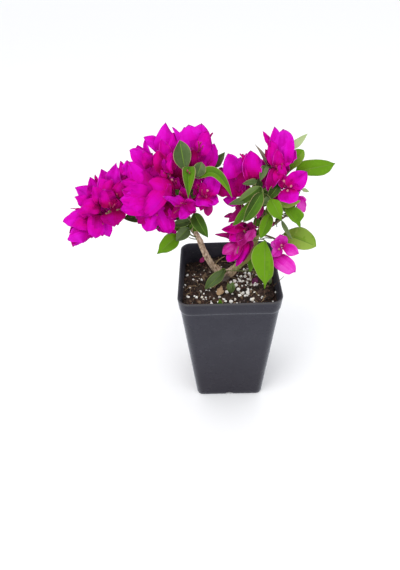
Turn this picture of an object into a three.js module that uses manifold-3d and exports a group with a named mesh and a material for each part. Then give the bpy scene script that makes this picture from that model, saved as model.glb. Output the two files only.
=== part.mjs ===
// Potted bougainvillea: a small two-stemmed bougainvillea in a deep, square, tapered nursery pot.
//
// Units are millimetres, +Z is up. The origin is the centre of the pot's flat underside, and the pot's
// front wall faces -Y. The pot is a thin-walled square frustum with rounded corners, a stepped rim band
// and drain slots at its foot. The potting mix fills it to a little below the rim. A short stump stands
// on the mix and forks into two main stems that lean apart in a V: the left one carries two arching
// boughs and the larger, longer half of the crown, the right one a smaller and leafier half.
// Each mass of bracts or leaves is one closed, uneven solid, joined from a few lobes.
import * as THREE from "three";
import { mergeVertices, mergeGeometries } from "three/addons/utils/BufferGeometryUtils.js";
import Module from "manifold-3d";

const wasm = await Module();
wasm.setup();

// ---------------------------------------------------------------- driving dimensions
const POT = {
  top: 105, // outside width across the rim
  foot: 81, // outside width at the underside
  height: 168,
  wall: 1.6,
  floor: 2.2,
  cornerTop: 11, // outside corner radius at the rim
  cornerFoot: 8,
  band: 15, // height of the stepped band under the rim
  bandStep: 0.9, // how far the band stands proud of the wall
  slotWide: 9, // drain slot, one in the middle of each wall's foot
  slotHigh: 4,
};
const MIX = { level: 153, gap: 0.3, cells: 9 }; // potting mix: mean height of its surface
const GAP = 0.3; // clearance between pieces that touch
const CLEAR = 0.45; // how much larger a neighbour's cutting copy is

// ---------------------------------------------------------------- helpers
const solidOf = (geometry) => {
  const g = geometry.index ? geometry.toNonIndexed() : geometry.clone();
  g.deleteAttribute("normal");
  g.deleteAttribute("uv");
  const m = mergeVertices(g, 1e-4);
  return new wasm.Manifold(
    new wasm.Mesh({
      numProp: 3,
      vertProperties: new Float32Array(m.attributes.position.array),
      triVerts: new Uint32Array(m.index.array),
    }),
  );
};
const geometryOf = (solid) => {
  const m = solid.getMesh();
  const p = new Float32Array(m.numVert * 3);
  for (let i = 0; i < m.numVert; i++) p.set(m.vertProperties.subarray(i * m.numProp, i * m.numProp + 3), i * 3);
  const g = new THREE.BufferGeometry();
  g.setAttribute("position", new THREE.BufferAttribute(p, 3));
  g.setIndex(new THREE.BufferAttribute(new Uint32Array(m.triVerts), 1));
  g.computeVertexNormals();
  return g;
};
const largest = (solid) => solid.decompose().sort((a, b) => b.volume() - a.volume())[0];

// Smooth, repeatable unevenness: a sum of sines whose phases come from a seed.
const uneven = (x, y, z, seed) =>
  (Math.sin(x * 1.0 + seed * 1.7) * Math.cos(y * 1.1 - seed * 0.9) +
    Math.sin(y * 2.1 + seed * 2.3) * Math.cos(z * 1.9 + seed) * 0.7 +
    Math.sin(z * 2.7 - seed * 1.3) * Math.cos(x * 2.4 + seed * 0.4) * 0.5) /
  2.2;

// A stack of closed rings, bottom to top, as one closed mesh.
const loft = (rings) => {
  const n = rings[0].length;
  const pos = rings.flat().flatMap((v) => [v.x, v.y, v.z]);
  const tri = [];
  rings.slice(1).forEach((_, k) => {
    for (let i = 0; i < n; i++) {
      const a = k * n + i,
        b = k * n + ((i + 1) % n);
      tri.push(a, b, b + n, a, b + n, a + n);
    }
  });
  const cap = (k, up) => {
    const c = pos.length / 3;
    const mid = rings[k].reduce((s, v) => s.add(v), new THREE.Vector3()).divideScalar(n);
    pos.push(mid.x, mid.y, mid.z);
    for (let i = 0; i < n; i++) {
      const a = k * n + i,
        b = k * n + ((i + 1) % n);
      tri.push(...(up ? [c, a, b] : [c, b, a]));
    }
  };
  cap(0, false);
  cap(rings.length - 1, true);
  const g = new THREE.BufferGeometry();
  g.setAttribute("position", new THREE.BufferAttribute(new Float32Array(pos), 3));
  g.setIndex(tri);
  return g;
};

// One ring of a rounded square, anticlockwise seen from above.
const roundedSquare = (width, radius, z, perCorner = 3) => {
  const h = width / 2 - radius;
  const ring = [];
  for (let q = 0; q < 4; q++) {
    const cx = q === 0 || q === 3 ? h : -h,
      cy = q < 2 ? h : -h;
    for (let i = 0; i <= perCorner; i++) {
      const a = (q + i / perCorner) * (Math.PI / 2);
      ring.push(new THREE.Vector3(cx + radius * Math.cos(a), cy + radius * Math.sin(a), z));
    }
  }
  return ring;
};

// ---------------------------------------------------------------- pot
const potWidth = (z) => POT.foot + ((POT.top - 2 * POT.bandStep - POT.foot) * z) / POT.height;
const potCorner = (z) => POT.cornerFoot + ((POT.cornerTop - POT.cornerFoot) * z) / POT.height;
const outer = (z, grow = 0) => roundedSquare(potWidth(z) + 2 * grow, potCorner(z) + grow, z);

function makePot() {
  const bandZ = POT.height - POT.band;
  const shell = solidOf(
    loft([
      outer(0, -1.2),
      outer(1.2, 0),
      outer(bandZ - 0.9, 0),
      outer(bandZ, POT.bandStep),
      outer(POT.height, POT.bandStep),
    ]),
  );
  const inside = solidOf(
    loft([outer(POT.floor, -POT.wall - 0.8), outer(POT.floor + 1.5, -POT.wall), outer(POT.height + 2, -POT.wall)]),
  );
  let pot = shell.subtract(inside);
  for (let q = 0; q < 4; q++) {
    // a low arched slot through the foot of each wall
    const s = new THREE.Shape();
    s.moveTo(-POT.slotWide / 2, -1);
    s.lineTo(POT.slotWide / 2, -1);
    s.lineTo(POT.slotWide / 2, POT.slotHigh * 0.4);
    s.absellipse(0, POT.slotHigh * 0.4, POT.slotWide / 2, POT.slotHigh * 0.6, 0, Math.PI, false);
    const g = new THREE.ExtrudeGeometry(s, { depth: 8, bevelEnabled: false, curveSegments: 5 });
    g.rotateX(Math.PI / 2); // the arch stands up, the depth runs along -Y
    g.translate(0, -(POT.foot / 2 - 5.2), 0);
    g.rotateZ((q * Math.PI) / 2);
    pot = pot.subtract(solidOf(g));
  }
  return largest(pot);
}

// ---------------------------------------------------------------- potting mix
function makeMix() {
  // the root ball inside the pot, with a gently uneven top that is flat where the stump stands
  const grow = -POT.wall - MIX.gap;
  const bottom = POT.floor + MIX.gap + 0.2;
  const body = solidOf(
    loft([outer(bottom, grow - 1.2), outer(bottom + 2, grow), outer(POT.height - 3, grow)]),
  );
  const n = MIX.cells,
    half = POT.top / 2 + 2;
  const height = (x, y) => {
    const near = Math.min(1, Math.max(0, (Math.hypot(x - FOOT.x, y - FOOT.y) - 9) / 10));
    const side = -1.6 * (y / 45) - (x < 0 && y > 0 ? (4 * -x * y) / 1600 : 0);
    return MIX.level + near * (side + 1.4 * uneven(x / 9, y / 9, 1, 3));
  };
  // a block whose underside is the wanted surface, taken off the body's top
  const pos = [],
    tri = [];
  const at = (i, j, top) => (top ? (n + 1) * (n + 1) : 0) + j * (n + 1) + i;
  for (const top of [false, true])
    for (let j = 0; j <= n; j++)
      for (let i = 0; i <= n; i++) {
        const x = -half + (2 * half * i) / n,
          y = -half + (2 * half * j) / n;
        pos.push(x, y, top ? POT.height + 20 : height(x, y));
      }
  for (let j = 0; j < n; j++)
    for (let i = 0; i < n; i++) {
      tri.push(at(i, j, 0), at(i + 1, j + 1, 0), at(i + 1, j, 0), at(i, j, 0), at(i, j + 1, 0), at(i + 1, j + 1, 0));
      tri.push(at(i, j, 1), at(i + 1, j, 1), at(i + 1, j + 1, 1), at(i, j, 1), at(i + 1, j + 1, 1), at(i, j + 1, 1));
    }
  for (let i = 0; i < n; i++) {
    tri.push(at(i, 0, 0), at(i + 1, 0, 0), at(i + 1, 0, 1), at(i, 0, 0), at(i + 1, 0, 1), at(i, 0, 1));
    tri.push(at(i, n, 0), at(i + 1, n, 1), at(i + 1, n, 0), at(i, n, 0), at(i, n, 1), at(i + 1, n, 1));
    tri.push(at(0, i, 0), at(0, i + 1, 1), at(0, i + 1, 0), at(0, i, 0), at(0, i, 1), at(0, i + 1, 1));
    tri.push(at(n, i, 0), at(n, i + 1, 0), at(n, i + 1, 1), at(n, i, 0), at(n, i + 1, 1), at(n, i, 1));
  }
  const g = new THREE.BufferGeometry();
  g.setAttribute("position", new THREE.BufferAttribute(new Float32Array(pos), 3));
  g.setIndex(tri);
  return largest(body.subtract(solidOf(g)));
}

// ---------------------------------------------------------------- limbs
// A tapering limb: round rings along a smooth curve through its named way points, with small bark swellings.
function limb(points, r0, r1, { sides = 9, steps = 8, flare = 0, seed = 1, flatFoot = false } = {}) {
  const curve = new THREE.CatmullRomCurve3(points.map((p) => new THREE.Vector3(...p)), false, "centripetal");
  const up = new THREE.Vector3(0, 0, 1);
  const rings = [];
  for (let k = 0; k <= steps; k++) {
    const t = k / steps;
    const c = curve.getPointAt(t);
    const dir = flatFoot && k === 0 ? up : curve.getTangentAt(t);
    const u = new THREE.Vector3(1, 0, 0).addScaledVector(dir, -dir.x).normalize();
    const v = new THREE.Vector3().crossVectors(dir, u);
    const ring = [];
    for (let i = 0; i < sides; i++) {
      const a = (2 * Math.PI * i) / sides;
      const r =
        (r0 + (r1 - r0) * t) * (1 + 0.07 * uneven(Math.cos(a), Math.sin(a), 6 * t, seed)) +
        flare * Math.pow(1 - t, 6) * (1 + 0.35 * Math.cos(3 * a + seed));
      ring.push(c.clone().addScaledVector(u, r * Math.cos(a)).addScaledVector(v, r * Math.sin(a)));
    }
    rings.push(ring);
  }
  return solidOf(loft(rings));
}

const FOOT = new THREE.Vector3(-4, 6, MIX.level + GAP); // where the stump stands on the mix
const LIMBS = [
  // name, way points, radius at the foot, radius at the tip, options
  ["stump", [[-4, 6, MIX.level + GAP], [-3.6, 6.2, 157], [-3.2, 6.6, 161]], 5.4, 4.7, { sides: 12, steps: 6, flare: 3.2, seed: 2, flatFoot: true }],
  ["left_stem", [[-6, 6.7, 157.2], [-10.7, 7.2, 160.4], [-15.5, 8, 166.8], [-20.1, 8, 176.3], [-25.4, 7, 190.4], [-29, 5, 204.6], [-33.4, 4, 216.4], [-41, 1.5, 240]], 3.5, 2.4, { sides: 8, steps: 12, seed: 4 }],
  ["right_stem", [[-1, 6, 158.2], [7.5, 6.2, 165.2], [14.1, 6, 172.6], [21.1, 5, 182.8], [25.6, 3, 195.2], [28.5, 2, 206.9], [31.9, 1, 218.2], [36, -1, 232]], 4.0, 2.1, { sides: 8, steps: 12, seed: 5 }],
  ["left_upper_bough", [[-42, 1.2, 241.5], [-49, 0, 259], [-54, 0, 277], [-58, 1, 293]], 2.2, 1.3, { sides: 7, steps: 6, seed: 6 }],
  ["left_arching_bough", [[-43.5, 2.5, 243], [-62, 5, 258], [-86, 4, 265], [-110, 2, 256], [-128, 0, 241]], 2.0, 1.1, { sides: 7, steps: 9, seed: 7 }],
  ["left_inner_bough", [[-41, 0.2, 243.8], [-36, -3, 262], [-31, -4, 282], [-29, -2, 296]], 1.9, 1.1, { sides: 7, steps: 6, seed: 8 }],
  ["right_upper_bough", [[36.6, -1, 233.6], [39, 0, 252], [43, 2, 272], [45, 3, 292]], 2.0, 1.2, { sides: 7, steps: 6, seed: 9 }],
  ["right_inner_bough", [[34.5, 0.5, 231], [25, 1, 246], [15, 2, 262], [8, 2, 272]], 1.6, 1.0, { sides: 7, steps: 6, seed: 10 }],
  ["right_side_bough", [[33.4, 0.7, 219.4], [45, -1, 226], [57, -2, 236], [70, 2, 246]], 1.3, 0.9, { sides: 7, seed: 11 }],
  ["right_low_bough", [[30.4, 1.3, 210.6], [42, -3, 211], [52, -6, 207], [63, -5, 202]], 1.1, 0.8, { sides: 7, seed: 12 }],
];

// ---------------------------------------------------------------- masses of bracts and leaves
// Each mass: [name, tint, lobes], and each lobe: [x, y, z, rx, ry, rz, turn about Y in degrees].
const MASSES = [
  ["far_left_tip", "bract", [[-135, -3, 232, 24, 21, 17, -35], [-148, -3, 220, 15, 14, 11, -35]]],
  ["far_left_top", "bract", [[-113, 3, 265, 25, 22, 18, -24], [-98, 6, 272, 13, 16, 13, 0]]],
  ["far_left_under", "bract", [[-108, -6, 240, 17, 17, 14, -10]]],
  ["far_left_back", "bract", [[-113, 33, 241, 23, 18, 18, -15]]],
  ["left_outer", "bract", [[-82, -2, 270, 20, 24, 22, 10], [-88, -8, 250, 15, 17, 15, 0]]],
  ["left_crest", "bract", [[-56, 2, 301, 18, 20, 22, 8], [-69, 2, 289, 14, 16, 13, 0]]],
  ["left_inner_crest", "bract", [[-29, 2, 302, 20, 20, 22, 0]]],
  ["left_core", "bract", [[-51, -16, 279, 19, 16, 18, 0]]],
  ["left_low", "bract", [[-66, -10, 243, 20, 18, 17, 0], [-54, -6, 231, 14, 12, 11, 0]]],
  ["left_front", "bract", [[-24, -24, 272, 18, 15, 15, 0], [-38, -20, 259, 14, 13, 12, 0]]],
  ["left_inner_leaves", "leaf", [[-10, -6, 285, 15, 11, 9, 25], [-1, -8, 275, 9, 8, 8, 40]]],
  ["left_low_leaves", "leaf", [[-39, -4, 222, 16, 13, 16, 0], [-56, -6, 211, 17, 9, 9, -40]]],
  ["left_back", "bract", [[-66, 37, 263, 25, 18, 23, 0], [-84, 33, 251, 16, 15, 15, 0]]],
  ["left_inner_back", "bract", [[-27, 36, 266, 20, 17, 21, 0]]],
  ["left_back_leaves", "leaf", [[-52, 30, 229, 19, 16, 13, 0]]],
  ["middle_bracts", "bract", [[3, 4, 278, 16, 16, 17, 0], [17, 4, 284, 11, 13, 13, 0]]],
  ["middle_small", "bract", [[3, -2, 240, 11, 11, 16, 0]]],
  ["right_crest", "bract", [[45, 2, 297, 15, 16, 19, 0], [41, 0, 276, 14, 14, 12, 0]]],
  ["right_wing", "leaf", [[76, 5, 281, 21, 12, 8, -4]]],
  ["right_wing_upright", "leaf", [[61, 9, 295, 9, 9, 13, 30]]],
  ["right_flower", "bract", [[55, -11, 266, 16, 15, 16, 0]]],
  ["right_core", "leaf", [[23, -9, 259, 17, 15, 17, 0], [12, -12, 247, 12, 10, 12, 35]]],
  ["right_leaves", "leaf", [[61, -6, 241, 15, 14, 13, 0], [44, -9, 243, 13, 13, 12, 0]]],
  ["right_side", "leaf", [[73, 0, 205, 17, 12, 11, 25]]],
  ["low_bracts", "bract", [[9, -10, 211, 19, 15, 17, 0], [20, -10, 224, 13, 13, 11, 0]]],
  ["right_low", "bract", [[54, -13, 199, 14, 13, 13, 0], [63, -13, 183, 12, 11, 13, 0]]],
  ["drooping_leaves", "leaf", [[34, -23, 193, 11, 10, 26, 0]]],
  ["right_heart", "leaf", [[36, -4, 222, 14, 12, 13, 0]]],
  ["right_back", "bract", [[36, 32, 262, 20, 17, 21, 0], [52, 27, 246, 15, 14, 14, 0]]],
  ["right_back_leaves", "leaf", [[34, 26, 225, 18, 15, 14, 0], [58, 22, 222, 16, 13, 12, 0]]],
  ["middle_back", "leaf", [[4, 28, 252, 14, 14, 14, 0]]],
];

const FINE_LOBE = 19.5; // a lobe wider than this gets the finer faceting
function lobe([x, y, z, rx, ry, rz, turn], seed, grow = 0) {
  const g = new THREE.IcosahedronGeometry(1, Math.max(rx, ry, rz) > FINE_LOBE ? 2 : 1);
  const p = g.attributes.position;
  const v = new THREE.Vector3();
  for (let i = 0; i < p.count; i++) {
    v.fromBufferAttribute(p, i).normalize();
    const bump = 1 + 0.15 * uneven(v.x * 2.6, v.y * 2.6, v.z * 2.6, seed);
    p.setXYZ(i, v.x * (rx * bump + grow), v.y * (ry * bump + grow), v.z * (rz * bump + grow));
  }
  g.rotateY((turn * Math.PI) / 180);
  g.translate(x, y, z);
  return solidOf(g);
}
const massOf = (lobes, seed, grow) =>
  lobes.map((l, i) => lobe(l, seed + i * 0.37, grow)).reduce((a, b) => a.add(b));

// ---------------------------------------------------------------- assembly
const group = new THREE.Group();
const paint = {
  pot: new THREE.MeshStandardMaterial({ color: 0x2b2b33, roughness: 0.42, metalness: 0 }),
  mix: new THREE.MeshStandardMaterial({ color: 0x33261f, roughness: 1, metalness: 0 }),
  bark: new THREE.MeshStandardMaterial({ color: 0x9b8671, roughness: 0.85, metalness: 0 }),
  bract: new THREE.MeshStandardMaterial({ color: 0xd505b8, roughness: 0.6, metalness: 0 }),
  leaf: new THREE.MeshStandardMaterial({ color: 0x5f8f22, roughness: 0.5, metalness: 0 }),
};
const addNode = (name, solid, material) => {
  const mesh = new THREE.Mesh(geometryOf(solid), material);
  mesh.name = name;
  group.add(mesh);
};

addNode("pot", makePot(), paint.pot);
const mix = makeMix();
addNode("potting_mix", mix, paint.mix);

// masses take their space in turn: each later one is cut by slightly larger copies of the earlier ones
const masses = [];
MASSES.forEach(([name, tint, lobes], i) => {
  let s = massOf(lobes, i + 1, 0);
  for (const m of masses) s = s.subtract(m.cutter);
  masses.push({ name, tint, solid: largest(s), cutter: massOf(lobes, i + 1, CLEAR) });
});

// limbs: each later limb is cut by a fatter copy of the earlier ones, and every bough ends where it enters a mass
const limbs = [];
for (const [name, way, r0, r1, opt] of LIMBS) {
  let s = limb(way, r0, r1, opt);
  for (const l of limbs) s = s.subtract(l.cutter);
  for (const m of masses) s = s.subtract(m.cutter);
  const kept = s.decompose().sort((a, b) => a.boundingBox().min[2] - b.boundingBox().min[2]);
  const visible = kept.filter((k) => k.volume() > 4);
  if (visible.length) limbs.push({ name, solid: visible[0], cutter: limb(way, r0 + CLEAR, r1 + CLEAR, opt) });
  else console.log("hidden limb", name);
}
for (const l of limbs) addNode(l.name, l.solid, paint.bark);
for (const m of masses) addNode(m.name, m.solid, paint[m.tint]);

export default group;
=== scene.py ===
"""Looks of a potted bougainvillea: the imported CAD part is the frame, and every piece below is grown or lofted round it.

Lengths in this file's tables are millimetres; meshes are written in metres.
"""
import math

import bpy
import numpy as np
from mathutils import Matrix, Vector


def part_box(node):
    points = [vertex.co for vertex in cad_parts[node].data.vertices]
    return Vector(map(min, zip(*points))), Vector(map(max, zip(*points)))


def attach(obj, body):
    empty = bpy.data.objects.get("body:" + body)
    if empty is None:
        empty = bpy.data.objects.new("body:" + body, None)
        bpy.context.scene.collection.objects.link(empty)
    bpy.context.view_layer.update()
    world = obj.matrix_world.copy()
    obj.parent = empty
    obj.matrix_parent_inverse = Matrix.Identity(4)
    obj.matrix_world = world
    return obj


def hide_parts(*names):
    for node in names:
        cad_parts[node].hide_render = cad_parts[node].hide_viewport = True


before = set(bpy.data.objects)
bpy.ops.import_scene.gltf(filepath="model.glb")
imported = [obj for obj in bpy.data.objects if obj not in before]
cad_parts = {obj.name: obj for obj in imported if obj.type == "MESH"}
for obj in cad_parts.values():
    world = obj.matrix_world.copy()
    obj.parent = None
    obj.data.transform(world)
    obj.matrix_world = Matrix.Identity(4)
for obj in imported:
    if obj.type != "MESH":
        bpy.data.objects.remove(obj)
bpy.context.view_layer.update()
MM = 0.001
UP = np.array([0.0, 0.0, 1.0])


def middle(node):
    """The middle of a CAD node's box, in millimetres."""
    lo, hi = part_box(node)
    return np.round([(a + b) / 2 / MM for a, b in zip(lo, hi)], 1)


def placed(table, *points):
    """A table's rows, with the named fields moved from their mass's middle into the part's frame."""
    rows = []
    for node, group in table.items():
        m = middle(node)
        rows += [tuple(m + v if i in points else v for i, v in enumerate(row)) for row in group]
    return rows


# ------------------------------------------------------------------ driving sizes, in millimetres
POT = dict(top=105.0, foot=81.0, height=168.0, wall=1.6, floor=2.2, corner_top=11.0, corner_foot=8.0, band=15.0, step=0.9, slot_wide=9.0, slot_high=4.0)
MIX_LEVEL = 153.0
FOOT = (-4.0, 6.0)

LIMBS = {
    # name: way points, radius at the foot, radius at the tip, node, green share
    "stump": ([(-4, 6, 151.5), (-3.6, 6.2, 156.5), (-3.2, 6.6, 161)], 5.4, 4.7, "stump_and_stems", 0),
    "left_stem": ([(-4.5, 6.4, 156), (-10.5, 7.2, 160.4), (-15.5, 8, 166.8), (-20.1, 8, 176.3), (-25.4, 7, 190.4), (-29, 5, 204.6), (-33.4, 4, 216.4), (-41, 1.5, 240.5)], 3.5, 2.3, "stump_and_stems", 0),
    "right_stem": ([(-3, 6, 156.5), (2.5, 6, 161), (7.5, 6.2, 165.2), (14.1, 6, 172.6), (21.1, 5, 182.8), (25.6, 3, 195.2), (28.5, 2, 206.9), (31.9, 1, 218.2), (36, -1, 232.5)], 4.2, 2.0, "stump_and_stems", 0),
    "left_upper_bough": ([(-40.6, 1.7, 239), (-44, 1, 248), (-49, 0, 259), (-54, 0, 277), (-57, 1, 289)], 2.2, 1.0, "boughs", 0),
    "left_arching_bough": ([(-40, 1.8, 238), (-48, 3, 247), (-62, 5, 258), (-86, 4, 265), (-110, 2, 256), (-127, 0, 242)], 2.0, 0.9, "boughs", 0),
    "left_inner_bough": ([(-40.6, 1.5, 239.5), (-38.5, -0.6, 250), (-36, -3, 262), (-31, -4, 282), (-29.5, -2.4, 293)], 1.9, 0.9, "boughs", 0),
    "right_upper_bough": ([(35.6, -0.9, 230.5), (37.2, -0.5, 241), (39, 0, 252), (43, 2, 272), (45, 3, 288)], 2.0, 1.0, "boughs", 0),
    "right_inner_bough": ([(35.4, -0.6, 229), (31, 0.2, 238), (25, 1, 246), (15, 2, 262), (9, 2, 271)], 1.6, 0.8, "boughs", 0),
    "right_side_bough": ([(32.4, 0.8, 219.5), (38, -0.2, 222), (45, -1, 226), (57, -2, 236), (69, 1.8, 245)], 1.3, 0.7, "boughs", 0),
    "right_low_bough": ([(29.6, 1.6, 211), (36, -1.2, 212), (42, -3, 211), (52, -6, 207), (62, -5, 202.5)], 1.1, 0.7, "boughs", 0),
}

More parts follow.
